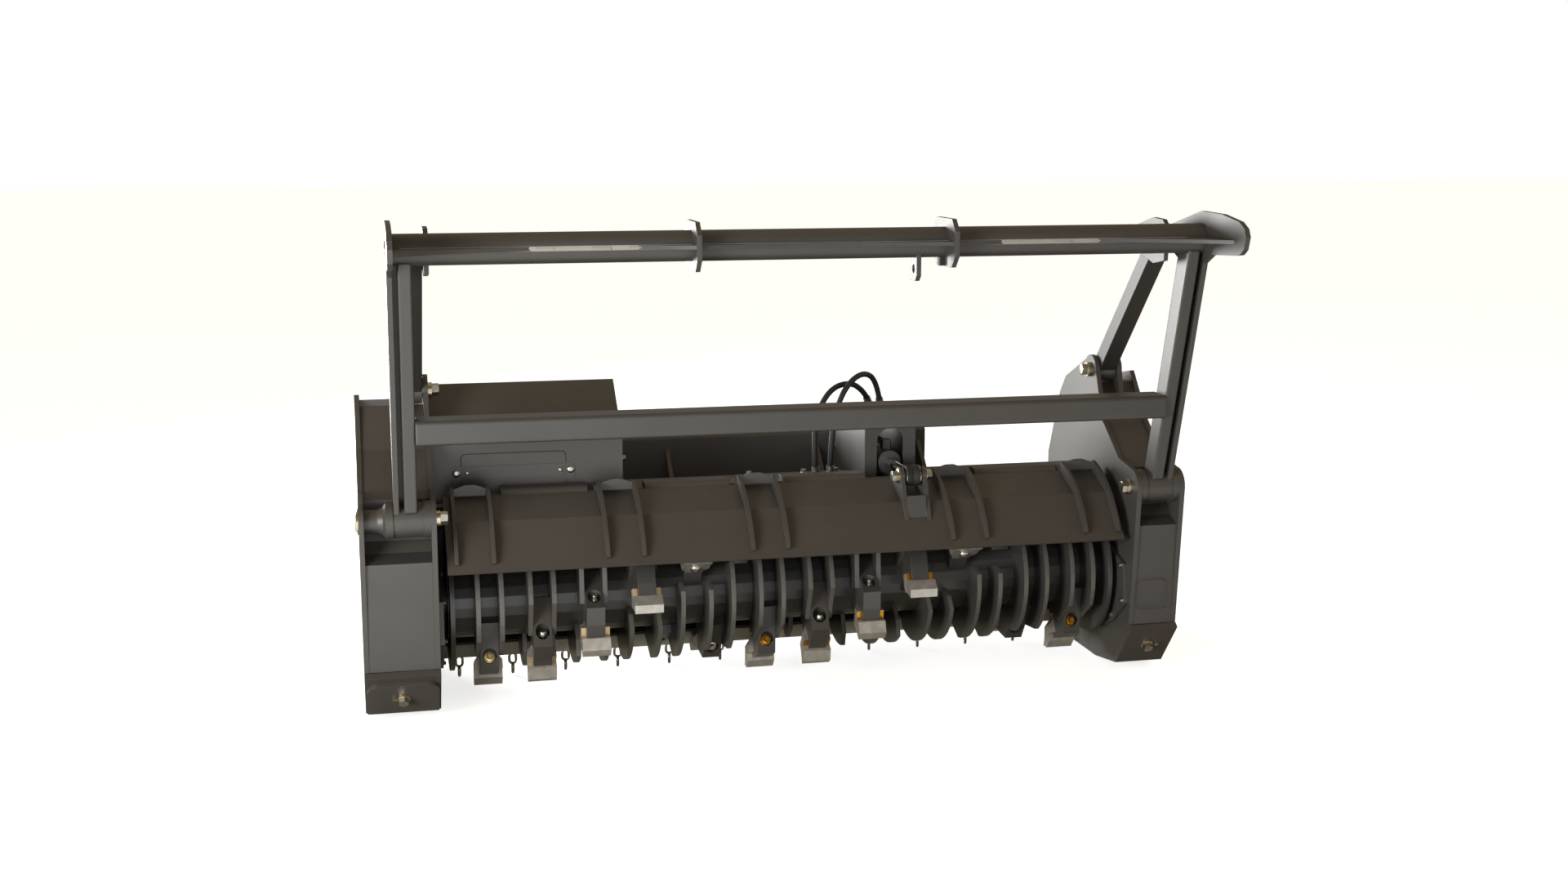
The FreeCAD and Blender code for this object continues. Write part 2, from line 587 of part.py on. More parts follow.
# web across the front of the two lugs
clevis.append(slab(S.hood_cylinder_x - clevis_half, S.hood_cylinder_x + clevis_half,
                   [(S.bend_y - 24, S.bend_z + 20), (S.bend_y - 34, S.bend_z - 38),
                    (S.bend_y - 26, S.bend_z - 30), (S.bend_y - 16, S.bend_z + 20)]))
hood_skin = bent_plate(hood_x0, hood_x1, hood_line, S.hood_plate)
named(cut(group(*clevis), rod(S.hood_cylinder_x - 100, S.hood_cylinder_x + 100, S.clevis_y,
                              S.clevis_z, S.clevis_pin + 0.2), hood_skin), "hood_clevis")
named(rod(S.hood_cylinder_x - clevis_half - S.clevis_plate - 6,
          S.hood_cylinder_x + clevis_half + S.clevis_plate + 6,
          S.clevis_y, S.clevis_z, S.clevis_pin), "clevis_pin")


def along(start, end, start_gap, length, radius):
    """A round bar of given length on the line from start to end."""
    run = (end - start).normalize()
    return Part.makeCylinder(radius, length, start + run * start_gap, run)


barrel_at = V(S.hood_cylinder_x.value, S.barrel_pin_y.value, S.barrel_pin_z.value)
eye_at = V(S.hood_cylinder_x.value, S.clevis_y.value, S.clevis_z.value)
reach = (eye_at - barrel_at).Length
pin_r = S.clevis_pin.value


def cross_bar(centre, width, radius):
    return Part.makeCylinder(radius, width, centre - X_AXIS * (width / 2), X_AXIS)


gland = S.barrel_length.value
barrel = along(barrel_at, eye_at, 30, gland - 40, S.barrel_radius.value)
barrel = barrel.fuse(along(barrel_at, eye_at, gland - 20, 20, S.barrel_radius.value + 3))
barrel = barrel.fuse(cross_bar(barrel_at, 44, 28)).fuse(along(barrel_at, eye_at, 10, 40, 20))
barrel = barrel.cut(cross_bar(barrel_at, 60, pin_r + 0.08))
barrel = barrel.cut(along(barrel_at, eye_at, 60, gland, S.rod_radius.value + 0.08))
named(feature(barrel.removeSplitter()), "cylinder_barrel")
rod_start = gland - 80
rod_shape = along(barrel_at, eye_at, rod_start, reach - rod_start, S.rod_radius.value)
rod_shape = rod_shape.fuse(cross_bar(eye_at, 40, 28)).cut(cross_bar(eye_at, 60, pin_r + 3.5))
named(feature(rod_shape.removeSplitter()), "cylinder_rod")
named(rod(tower_x0 - 6, tower_x1 + 6, S.barrel_pin_y, S.barrel_pin_z, S.clevis_pin), "barrel_pin")

# push frame
foot = V(0, S.pin_front_y.value, S.pin_front_z.value)
head = V(0, S.tube_y.value, S.tube_z.value)
mirror_x = x_mid * 2


def both_sides(x0, x1):
    """A span on the right and its mirror image on the left."""
    return [(mirror_x - x1, mirror_x - x0), (x0, x1)]


upright_x0 = right_inner[1] + S.ring_width + 15
upright_x1 = upright_x0 + S.upright_width
flange_x0 = upright_x1 + S.flange_gap
flange_x1 = flange_x0 + S.flange_plate


def bar_between(x0, x1, start, end, depth, wall=0, radius=4):
    """A rectangular bar or tube along a line of the side view, spanning x0 to x1 in X."""
    run = end - start
    along_run = V(0, run.y, run.z).normalize()
    side = V(0, -along_run.z, along_run.y)
    width = float(x1) - float(x0)

    def block(inset):
        corner = V(float(x0) + inset, 0, 0) + start - side * (depth / 2 - inset)
        a = corner
        b = corner + V(width - 2 * inset, 0, 0)
        c = b + side * (depth - 2 * inset)
        d = a + side * (depth - 2 * inset)
        return Part.Face(Part.makePolygon([a, b, c, d, a])).extrude(run)

    solid = block(0)
    if radius:
        long_edges = [e for e in solid.Edges if abs(e.Length - run.Length) < 1e-6
                      and abs(e.tangentAt(e.FirstParameter).dot(along_run)) > 0.999]
        solid = solid.makeFillet(radius, long_edges)
    return solid.cut(block(wall)) if wall else solid


uprights, flanges, bosses, rings, braces = [], [], [], [], []
boss_cut = Part.makeCylinder(S.boss_radius.value, 3000, V(-1500, foot.y, foot.z), X_AXIS)
tube_cut = Part.makeCylinder(S.tube_radius.value, 3000, V(-1500, head.y, head.z), X_AXIS)
for a, b in both_sides(upright_x0, upright_x1):
    bar = bar_between(a, b, foot, head, S.upright_depth.value, S.upright_wall.value)
    uprights.append(bar.cut(boss_cut).cut(tube_cut))
named(feature(Part.makeCompound(uprights)), "push_frame_uprights")
for a, b in both_sides(flange_x0, flange_x1):
    strip = bar_between(a, b, foot, head, S.upright_depth.value, 0, 0).cut(boss_cut)
    ty, tz = head.y, head.z
    plate = block_face([V(float(a), ty - 190, tz - 33), V(float(a), ty - 60, tz - 40),
                        V(float(a), ty - 10, tz - 66), V(float(a), ty + 30, tz - 110),
                        V(float(a), ty + 205, tz - 32), V(float(a), ty + 201, tz + 23),
                        V(float(a), ty + 10, tz + 69), V(float(a), ty - 110, tz + 66),
                        V(float(a), ty - 205, tz + 52), V(float(a), ty - 236, tz + 36),
                        V(float(a), ty - 246, tz + 16), V(float(a), ty - 236, tz - 16),
                        V(float(a), ty - 215, tz - 30)])
    strip = strip.fuse(plate.extrude(V(float(b) - float(a), 0, 0)))
    # a bar down the back closes the groove between end plate and upright
    inner = (float(b), float(b) + S.flange_gap.value) if float(a) < 0 else (
        float(a) - S.flange_gap.value, float(a))
    back = V(0, (head.z - foot.z), -(head.y - foot.y)).normalize() * 22
    bar = bar_between(inner[0], inner[1], foot + back, head + back, 16, 0, 0)
    flanges.append(strip.fuse(bar.cut(boss_cut).cut(tube_cut)).removeSplitter())
named(feature(Part.makeCompound(flanges)), "push_frame_end_plates")

tube_x0, tube_x1 = mirror_x - flange_x0, flange_x0
named(cut(rod(tube_x0, tube_x1, S.tube_y, S.tube_z, S.tube_radius),
          rod(tube_x0 - 1, tube_x1 + 1, S.tube_y, S.tube_z, S.tube_radius - S.tube_wall)),
      "push_frame_top_tube")

cross_y = foot.y + (head.y - foot.y) * (S.cross_z.value - foot.z) / (head.z - foot.z)
cross_x0, cross_x1 = mirror_x - upright_x0, upright_x0
cross = Part.makeBox(cross_x1.value - cross_x0.value, S.cross_depth.value, S.cross_height.value,
                     V(cross_x0.value, cross_y - S.cross_depth.value / 2,
                       S.cross_z.value - S.cross_height.value / 2))
cross = cross.makeFillet(10, [e for e in cross.Edges if e.Length > 1000])
bore = Part.makeBox(cross_x1.value - cross_x0.value + 2, S.cross_depth.value - 12,
                    S.cross_height.value - 12,
                    V(cross_x0.value - 1, cross_y - S.cross_depth.value / 2 + 6,
                      S.cross_z.value - S.cross_height.value / 2 + 6))
named(feature(cross.cut(bore)), "push_frame_crossbar")

# scalloped fin along the front of the top tube
gusset_centres = [-282, 362]
fin_ends = [tube_x0.value] + gusset_centres + [tube_x1.value]
fin_y = head.y - S.tube_radius.value + 4
fin_edges = []
for i, (a, b) in enumerate(zip(fin_ends, fin_ends[1:])):
    deep_a = 150 if i == 0 else 46
    deep_b = 150 if i == len(fin_ends) - 2 else 46
    middle = V((a + b) / 2 + (deep_b - deep_a), fin_y - 20, head.z)
    fin_edges.append(arc_edge(V(a, fin_y - deep_a, head.z), middle, V(b, fin_y - deep_b, head.z)))
first, last = fin_edges[0].Vertexes[0].Point, fin_edges[-1].Vertexes[-1].Point
fin_edges += [Part.makeLine(last, V(last.x, fin_y, head.z)),
              Part.makeLine(V(last.x, fin_y, head.z), V(first.x, fin_y, head.z)),
              Part.makeLine(V(first.x, fin_y, head.z), first)]
fin = Part.Face(Part.Wire(fin_edges)).extrude(V(0, 0, 10))
fin.translate(V(0, 0, -5))
named(feature(fin.cut(tube_cut)), "push_frame_fin")

gussets = []
for x in gusset_centres:
    ring = block_face([V(x - 6, head.y + dy, head.z + dz) for dy, dz in
                       ((-92, -30), (-92, 30), (-62, 60), (62, 60), (92, 30), (92, -30),
                        (62, -60), (-62, -60))])
    gussets.append(ring.extrude(V(12, 0, 0)).cut(tube_cut).cut(fin))
for a, b in both_sides(right_inner[1] - 10, right_inner[1] + 2):
    ring = block_face([V(float(a), head.y + dy, head.z + dz) for dy, dz in
                       ((30, 30), (50, 46), (111, 49), (215, 24), (222, -14), (166, -54),
                        (102, -71), (36, -60))])
    gussets.append(ring.extrude(V(float(b) - float(a), 0, 0)).cut(tube_cut))
named(feature(Part.makeCompound(gussets)), "push_frame_gussets")

brace_x0 = right_inner[1] + 2
brace_x1 = brace_x0 + S.brace_size
rear = V(0, S.pin_rear_y.value, S.pin_rear_z.value)
brace_top = head + V(0, 130, 0)
eye_cut = Part.makeCylinder(34, 3000, V(-1500, rear.y, rear.z), X_AXIS)
eyes = []
for a, b in both_sides(brace_x0, brace_x1):
    braces.append(bar_between(a, b, rear, brace_top, S.brace_size.value, 5).cut(eye_cut).cut(tube_cut))
    eyes.append(rod(a, b, S.pin_rear_y, S.pin_rear_z, 34))
named(feature(Part.makeCompound(braces)), "push_frame_braces")
named(cut(group(*eyes), rod(x_left, -1 * x_left, S.pin_rear_y, S.pin_rear_z, S.pin_radius + 0.2)),
      "brace_eyes")

for a, b in both_sides(right_inner[1] + S.ring_width, right_inner[1] + S.ring_width + S.boss_length):
    bosses.append(rod(a, b, S.pin_front_y, S.pin_front_z, S.boss_radius))
named(cut(group(*bosses), rod(x_left, -1 * x_left, S.pin_front_y, S.pin_front_z,
                              S.pin_radius + 0.2)), "pivot_bosses")
boss_end = right_inner[1] + S.ring_width + S.boss_length
spacer = []
for a, b in both_sides(right_inner[1], right_inner[1] + S.ring_width):
    spacer.append(rod(a, b, S.pin_front_y, S.pin_front_z, S.boss_radius + 3))
spacer.append(rod(boss_end, right_outer[0], S.pin_front_y, S.pin_front_z, S.boss_radius + 3))
left_boss_end = mirror_x - boss_end
spacer.append(rod(left_boss_end - 18, left_boss_end, S.pin_front_y, S.pin_front_z,
                  S.boss_radius + 3))
neck = S.boss_radius - 14
flare = left_boss_end - 18 - left_outer[1]
spacer.append(fuse(rod(left_outer[1], left_outer[1] + flare * 0.62, S.pin_front_y, S.pin_front_z,
                       neck),
                   cone(left_outer[1] + flare * 0.62, left_outer[1] + flare * 0.86,
                        S.pin_front_y, S.pin_front_z, neck, neck + 5),
                   cone(left_outer[1] + flare * 0.86, left_boss_end - 18,
                        S.pin_front_y, S.pin_front_z, neck + 5, S.boss_radius + 1)))
named(cut(group(*spacer), rod(x_left, -1 * x_left, S.pin_front_y, S.pin_front_z,
                              S.pin_radius + 0.2)), "pivot_spacers")
pins = [rod(left_outer[0] - 8, left_inner[1] + 8, S.pin_front_y, S.pin_front_z, S.pin_radius),
        rod(right_inner[0] - 8, right_outer[1] + 8, S.pin_front_y, S.pin_front_z, S.pin_radius)]
lug_plates = []
for a, b in both_sides(brace_x1 + 2, brace_x1 + 15):
    lug_plates.append(cut(fuse(slab(a, b, [(S.pin_rear_y - S.lug_radius, S.pin_rear_z),
                                           (S.brow_y + 30, S.brow_z + 30),
                                           (S.pin_rear_y + 60, S.pin_rear_z - 36),
                                           (S.pin_rear_y + 40, S.pin_rear_z + 6)]),
                               rod(a, b, S.pin_rear_y, S.pin_rear_z, S.lug_radius)),
                          rod(a - 1, b + 1, S.pin_rear_y, S.pin_rear_z, S.pin_radius + 0.2),
                          *covers))
named(group(*lug_plates), "rear_lugs")
for a, b in both_sides(right_inner[0] - 8, brace_x1 + 23):
    pins.append(rod(a, b, S.pin_rear_y, S.pin_rear_z, S.pin_radius))
named(group(*pins), "push_frame_pins")

# hanger tab below the top tube
tab_x = 278
tab = block_face([V(tab_x, head.y - 24, head.z - 20), V(tab_x, head.y - 24, head.z - 82),
                  V(tab_x, head.y - 10, head.z - 96), V(tab_x, head.y + 30, head.z - 96),
                  V(tab_x, head.y + 30, head.z - 20)]).extrude(V(12, 0, 0))
tab = tab.cut(Part.makeCylinder(11, 40, V(tab_x - 10, head.y + 3, head.z - 66), X_AXIS))
named(feature(tab.cut(tube_cut)), "hanger_tab")

# hoses to the hood cylinder, from the deck to the top of the tower
def hose(points, radius):
    """A tube of straight runs joined by arcs as large as the runs allow."""
    path = [V(*p) for p in points]
    edges, radii, last = [], [], path[0]
    for a, b, c in zip(path, path[1:], path[2:]):
        u, w = (b - a).normalize(), (c - b).normalize()
        turn = u.getAngle(w)
        cutback = 0.45 * min((b - a).Length, (c - b).Length)
        radii.append(round(cutback / math.tan(turn / 2), 1))
        p, q = b - u * cutback, b + w * cutback
        centre_dir = (w - u).normalize()
        hub = b + centre_dir * (cutback / math.sin(turn / 2))
        middle = hub - centre_dir * (cutback / math.tan(turn / 2))
        edges += [Part.LineSegment(last, p).toShape(), Part.Arc(p, middle, q).toShape()]
        last = q
    edges.append(Part.LineSegment(last, path[-1]).toShape())
    wire = Part.Wire(edges)
    start = Part.Wire(Part.makeCircle(radius, path[0], path[1] - path[0]))
    tube = wire.makePipeShell([start], True, False)
    print("hose radii", radii, "length", round(wire.Length, 1), "volume ratio",
          round(tube.Volume / (math.pi * radius ** 2 * wire.Length), 4))
    return tube


deck = S.deck_z.value
top = S.tower_top.value
hx = S.hood_cylinder_x.value
hose_a = [(165, 215, deck + 30), (160, 212, deck + 110), (170, 214, deck + 190),
          (215, 232, deck + 252), (282, 268, deck + 262), (332, 306, deck + 226),
          (346, 330, top + 30)]
hose_b = [(210, 222, deck + 30), (213, 218, deck + 120), (230, 216, deck + 210),
          (268, 228, deck + 270), (320, 262, deck + 290), (364, 298, deck + 262),
          (380, 318, top + 30)]
named(feature(hose(hose_a, S.hose_radius.value)), "hose_a")
named(feature(hose(hose_b, S.hose_radius.value)), "hose_b")


def fitting(end, inner, seat):
    """A round connector in line with the hose's last run, down to the plate it stands on."""
    end, inner = V(*end), V(*inner)
    body = Part.makeCylinder(11, 80, end, end - inner)
    return body.cut(Part.makeBox(400, 400, 400, V(end.x - 200, end.y - 200, seat - 400)))


fittings = []
for points in (hose_a, hose_b):
    fittings.append(fitting(points[0], points[1], deck + 8))
    fittings.append(fitting(points[-1], points[-2], top))
named(feature(Part.makeCompound(fittings)), "hose_fittings")

doc.recompute()
for obj in doc.Objects:
    if "Invalid" in obj.State or "Error" in obj.State:
        raise RuntimeError("%s failed: %s" % (obj.Label, obj.State))
os.makedirs("parts", exist_ok=True)
for obj in parts:
    shape = obj.Shape
    if shape.isNull() or not shape.isValid():
        raise RuntimeError("bad shape: " + obj.Label)
    shape.exportStep(os.path.join("parts", obj.Label + ".step"))
print("pieces", len(parts))
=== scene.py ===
"""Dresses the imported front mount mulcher: paint, bolts, teeth, chains, hoses and the studio."""

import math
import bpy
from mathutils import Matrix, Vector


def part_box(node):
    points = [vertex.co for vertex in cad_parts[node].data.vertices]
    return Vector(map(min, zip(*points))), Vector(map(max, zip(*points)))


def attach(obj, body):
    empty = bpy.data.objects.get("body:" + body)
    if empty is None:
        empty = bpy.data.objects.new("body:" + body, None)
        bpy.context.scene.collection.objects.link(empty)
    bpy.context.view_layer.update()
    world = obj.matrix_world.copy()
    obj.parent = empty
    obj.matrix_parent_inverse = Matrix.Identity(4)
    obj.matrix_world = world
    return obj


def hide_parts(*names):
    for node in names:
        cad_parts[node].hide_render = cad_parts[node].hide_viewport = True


bl_info = {
    "name": "Front Mount Mulcher Dressing",
    "version": (1, 0, 0),
    "blender": (4, 5, 0),
    "location": "3D View > Sidebar > Mulcher",
    "description": "Paint, fasteners, cutting teeth, chains and hoses for a forestry mulching head",
    "category": "Object",
}

import bmesh
import bpy
from bpy.props import FloatProperty, FloatVectorProperty, IntProperty, PointerProperty
from mathutils import Matrix, Vector

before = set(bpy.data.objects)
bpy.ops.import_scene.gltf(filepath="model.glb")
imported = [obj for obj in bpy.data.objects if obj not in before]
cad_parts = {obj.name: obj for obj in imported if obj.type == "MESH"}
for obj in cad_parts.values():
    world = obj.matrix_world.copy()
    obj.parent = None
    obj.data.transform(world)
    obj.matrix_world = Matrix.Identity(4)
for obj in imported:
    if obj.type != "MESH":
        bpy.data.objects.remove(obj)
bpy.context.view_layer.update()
MM = 0.001
WHITE = (1, 1, 1, 1)
ROTOR_AXIS = (0.065, 0.270)   # (y, z)


# Colours and sizes

def linear(hex_colour):
    """sRGB hex to the linear values that shaders expect."""
    parts = [int(hex_colour[i:i + 2], 16) / 255 for i in (0, 2, 4)]
    return [c / 12.92 if c <= 0.04045 else ((c + 0.055) / 1.055) ** 2.4 for c in parts]


def colour_prop(name, description, hex_colour):
    return FloatVectorProperty(name=name, description=description, subtype="COLOR", size=3,
                               min=0, max=1, default=linear(hex_colour))


def length_prop(name, description, millimetres):
    return FloatProperty(name=name, description=description, subtype="DISTANCE", unit="LENGTH",
                         min=0, default=millimetres * MM)


class MulcherColours(bpy.types.PropertyGroup):
    paint: colour_prop("Frame paint", "Satin enamel on the welded plates", "454442")
    # dust and painted shade: these films paint a warm dim shade on faces that look up, darker and
    # greyer on level ones
    dust_and_top_shade: colour_prop("Settled dust", "Brown film on upward faces", "40382e")
    level_dust_and_shade: colour_prop("Level dust", "Greyer film on level faces", "2b2a28")
    edge: colour_prop("Rubbed edge", "Where the enamel is thin over a plate's edge", "615f5a")
    rotor: colour_prop("Rotor paint", "Enamel on the rotor", "403f3d")
    tooth: colour_prop("Tooth steel", "Ground faces of the teeth", "b4b1aa")
    # yellow plating; on the teeth's nuts and seats it paints a warm reflection
    yellow_zinc: colour_prop("Yellow zinc", "Yellow passivated plating", "b98a34")
    straw_zinc: colour_prop("Straw zinc", "Pale passivated washers", "c9b98c")
    zinc: colour_prop("Bright zinc", "Clear passivated plating", "b9b6ad")
    chain: colour_prop("Chain steel", "Bright drawn links", "8f8c85")
    chrome: colour_prop("Hard chrome", "Cylinder rod", "d6d6d4")
    rubber: colour_prop("Hose rubber", "Smooth hydraulic hose cover", "17171a")
    primer: colour_prop("Closed joint", "Dark gap between seated plates", "1b1a18")
    floor: colour_prop("Studio floor", "Pale floor under the machine", "f4f4f2")


class MulcherSizes(bpy.types.PropertyGroup):
    pin_bolt: length_prop("Pin bolt", "Across the flats of the bolts that hold the pins", 30)
    pad_bolt: length_prop("Wear pad bolt", "Across the flats of the bolt in each shoe's slope", 24)
    deck_bolt: length_prop("Deck bolt", "Across the flats of the deck's bolts", 15)
    flange_bolt: length_prop("Flange bolt", "Across the flats of the rotor bearing's bolts", 10)
    tooth_bolt: length_prop("Tooth bolt", "Across the flats of the nut behind a tooth", 22)
    seam: length_prop("Seam", "Width of the grooves round covers and plates", 2)
    chain_bar: length_prop("Chain bar", "Diameter of the bar a link is bent from", 7.5)
    hose: length_prop("Hose", "Outside diameter of the two hydraulic hoses", 16)
    plate_edge: length_prop("Plate edge", "Radius broken on sheared plate edges", 1.2)
    strands: IntProperty(name="Chain strands", description="Chains along the rear rail",
                         min=4, default=13)


def colours():
    return bpy.context.scene.mulcher_colours


def sizes():
    return bpy.context.scene.mulcher_sizes


# Materials

def add_node(tree, kind, links=None, values=None, **settings):
    """Add a shader node with its settings, values and the sockets that feed it."""
    node = tree.nodes.new("ShaderNode" + kind)
    for key, value in settings.items():
        setattr(node, key, value)
    for key, value in (values or {}).items():
        node.inputs[key].default_value = value
    for key, source in (links or {}).items():
        tree.links.new(source, node.inputs[key])
    return node


def per_mm(millimetres):
    """Noise scale whose features are about that many millimetres wide."""
    return 1000.0 / millimetres


def new_finish(name, colour, metallic, roughness, **sockets):
    """A material with a Principled surface and its object-space coordinates."""
    material = bpy.data.materials.new(name)
    material.use_nodes = True
    tree = material.node_tree
    surface = tree.nodes["Principled BSDF"]
    surface.inputs["Base Color"].default_value = (*colour, 1)
    surface.inputs["Metallic"].default_value = metallic
    surface.inputs["Roughness"].default_value = roughness
    for key, value in sockets.items():
        surface.inputs[key.replace("_", " ")].default_value = value
    material.diffuse_color = (*colour, 1)
    place = add_node(tree, "TexCoord")
    return material, tree, surface, place.outputs["Object"]


def noise(tree, where, millimetres, detail=3.0, rough=0.5):
    node = add_node(tree, "TexNoise", {"Vector": where},
                    {"Scale": per_mm(millimetres), "Detail": detail, "Roughness": rough})
    return node.outputs["Fac"]


def product(tree, first, second):
    return add_node(tree, "Math", {0: first, 1: second}, operation="MULTIPLY").outputs["Value"]


def ramp(tree, source, low, high, to_low=0.0, to_high=1.0):
    node = add_node(tree, "MapRange", {"Value": source},
                    {"From Min": low, "From Max": high, "To Min": to_low, "To Max": to_high},
                    interpolation_type="SMOOTHSTEP")
    return node.outputs["Result"]


def blend_colours(tree, factor, first, second):
    """Mix two colours; each is a socket or an RGB triple."""
    node = add_node(tree, "Mix", {"Factor": factor}, data_type="RGBA")
    for socket, value in ((node.inputs[6], first), (node.inputs[7], second)):
        if hasattr(value, "is_output"):
            tree.links.new(value, socket)
        else:
            socket.default_value = (*value, 1)
    return node.outputs[2]


def scaled(colour, amount):
    return [min(1.0, c * amount) for c in colour]


def shaded(tree, surface, colour, pattern, span, darker, lighter):
    """Vary the base colour between two shades of it, as a pattern crosses a span."""
    tone = blend_colours(tree, ramp(tree, pattern, *span), scaled(colour, darker),
                         scaled(colour, lighter))
    tree.links.new(tone, surface.inputs["Base Color"])


def dulled(tree, surface, pattern, roughness, less, more):
    """Vary the roughness about its middle value, as a pattern goes from 0.2 to 0.8."""
    tree.links.new(ramp(tree, pattern, 0.2, 0.8, roughness - less, roughness + more),
                   surface.inputs["Roughness"])


def bumped(tree, surface, height, strength, distance, rounded=None):
    """Raise the surface by a pattern, over a rounded normal where one is given."""
    links = {"Height": height}
    if rounded is not None:
        links["Normal"] = rounded.outputs["Normal"]
    bump = add_node(tree, "Bump", links, {"Strength": strength, "Distance": distance})
    tree.links.new(bump.outputs["Normal"], surface.inputs["Normal"])


def enamel(name, colour, roughness, dust_and_top_shade, grain_mm=2.2, corner=None, worn_rim=None):
    """Satin alkyd enamel sprayed on plate steel: soft sheen, faint orange peel, rubbed edges,
    and on surfaces that face up a thin film of brown dust that dulls it, which also paints a warm
    shade there, darker and greyer on level faces."""
    material, tree, surface, where = new_finish(name, colour, 0.0, roughness, IOR=1.5)
    broad = noise(tree, where, 140, 4)
    tone = blend_colours(tree, ramp(tree, broad, 0.3, 0.7), scaled(colour, 0.93),
                         scaled(colour, 1.07))
    # edges: the bevel normal departs from the face normal where a plate ends
    rounded = add_node(tree, "Bevel", values={"Radius": sizes().plate_edge}, samples=4)
    flat = add_node(tree, "NewGeometry")
    turn = add_node(tree, "VectorMath", {0: rounded.outputs["Normal"], 1: flat.outputs["Normal"]},
                    operation="DOT_PRODUCT")
    scuffs = noise(tree, where, 9, 5, 0.7)
    bend = add_node(tree, "Bevel", values={"Radius": corner or sizes().plate_edge}, samples=6)
    rim = product(tree, ramp(tree, turn.outputs["Value"], 0.97, 0.80),
                  ramp(tree, scuffs, 0.25, 0.65))
    tone = blend_colours(tree, rim, tone, colours().edge[:])
    upward = add_node(tree, "SeparateXYZ", {"Vector": where.node.outputs["Normal"]})
    if worn_rim:
        # the narrow faces round a plate that stands across X, scoured lighter by wood
        across = add_node(tree, "Math", {0: upward.outputs["X"]}, operation="ABSOLUTE")
        tone = blend_colours(tree, ramp(tree, across.outputs["Value"], 0.5, 0.2), tone, worn_rim)
    # dust and painted shade: only on faces that look up, thinner in patches, and duller where it is
    # thick; its brown paints a warm shade, and on level faces a darker grey shade
    patches = noise(tree, where, 60, 5, 0.65)
    dust_and_shade_film = product(tree, ramp(tree, upward.outputs["Z"], 0.15, 0.75, 0, dust_and_top_shade),
                   ramp(tree, patches, 0.1, 0.7, 0.75, 1))
    # level faces take the darker grey, a painted shade
    level = ramp(tree, upward.outputs["Z"], 0.70, 0.92)
    dust_and_shade_tone = blend_colours(tree, level, colours().dust_and_top_shade[:], colours().level_dust_and_shade[:])
    tone = blend_colours(tree, dust_and_shade_film, tone, dust_and_shade_tone)
    tree.links.new(tone, surface.inputs["Base Color"])
    tree.links.new(ramp(tree, dust_and_shade_film, 0, 1, roughness, roughness + 0.16),
                   surface.inputs["Roughness"])
    # orange peel, drawn about twice as coarse as real so that it shows
    peel = noise(tree, where, grain_mm, 2)
    bumped(tree, surface, peel, 0.14, 0.0004, bend)
    return material


def ground_steel(name, colour, roughness, metallic):
    """Tool steel faced on a surface grinder: fine straight lines and grey heat tint."""
    material, tree, surface, where = new_finish(name, colour, metallic, roughness)
    squeeze = add_node(tree, "Mapping", {"Vector": where}, {"Scale": (0.06, 1, 1)})
    lines = noise(tree, squeeze.outputs["Vector"], 0.9, 3)
    patches = noise(tree, where, 22, 4, 0.6)
    shaded(tree, surface, colour, patches, (0.35, 0.7), 0.86, 1.08)
    dulled(tree, surface, patches, roughness, 0.06, 0.1)
    rounded = add_node(tree, "Bevel", values={"Radius": 0.0008}, samples=4)
    bumped(tree, surface, lines, 0.06, 0.0002, rounded)
    return material


def zinc_plate(name, colour, roughness, spangle_mm=3.0):
    """Bright plated or polished steel, slightly cloudy, its sheen varying with the clouds."""
    material, tree, surface, where = new_finish(name, colour, 1.0, roughness)
    cloud = noise(tree, where, spangle_mm, 4, 0.6)
    shaded(tree, surface, colour, cloud, (0.3, 0.75), 0.8, 1.1)
    dulled(tree, surface, cloud, roughness, 0.05, 0.12)
    bumped(tree, surface, cloud, 0.1, 0.0002)
    return material


def hose_cover(name, colour):
    """Wrapped synthetic rubber: near black, faint bands where the wrap pressed the cover."""
    material, tree, surface, where = new_finish(name, colour, 0.0, 0.62, IOR=1.5)
    wrap = add_node(tree, "TexWave", {"Vector": where},
                    {"Scale": per_mm(26), "Distortion": 1.5, "Detail": 1.0})
    fine = noise(tree, where, 3, 3)
    shaded(tree, surface, colour, fine, (0.3, 0.7), 0.85, 1.25)
    bumped(tree, surface, wrap.outputs["Fac"], 0.06, 0.0002)
    return material


FINISHES = {}


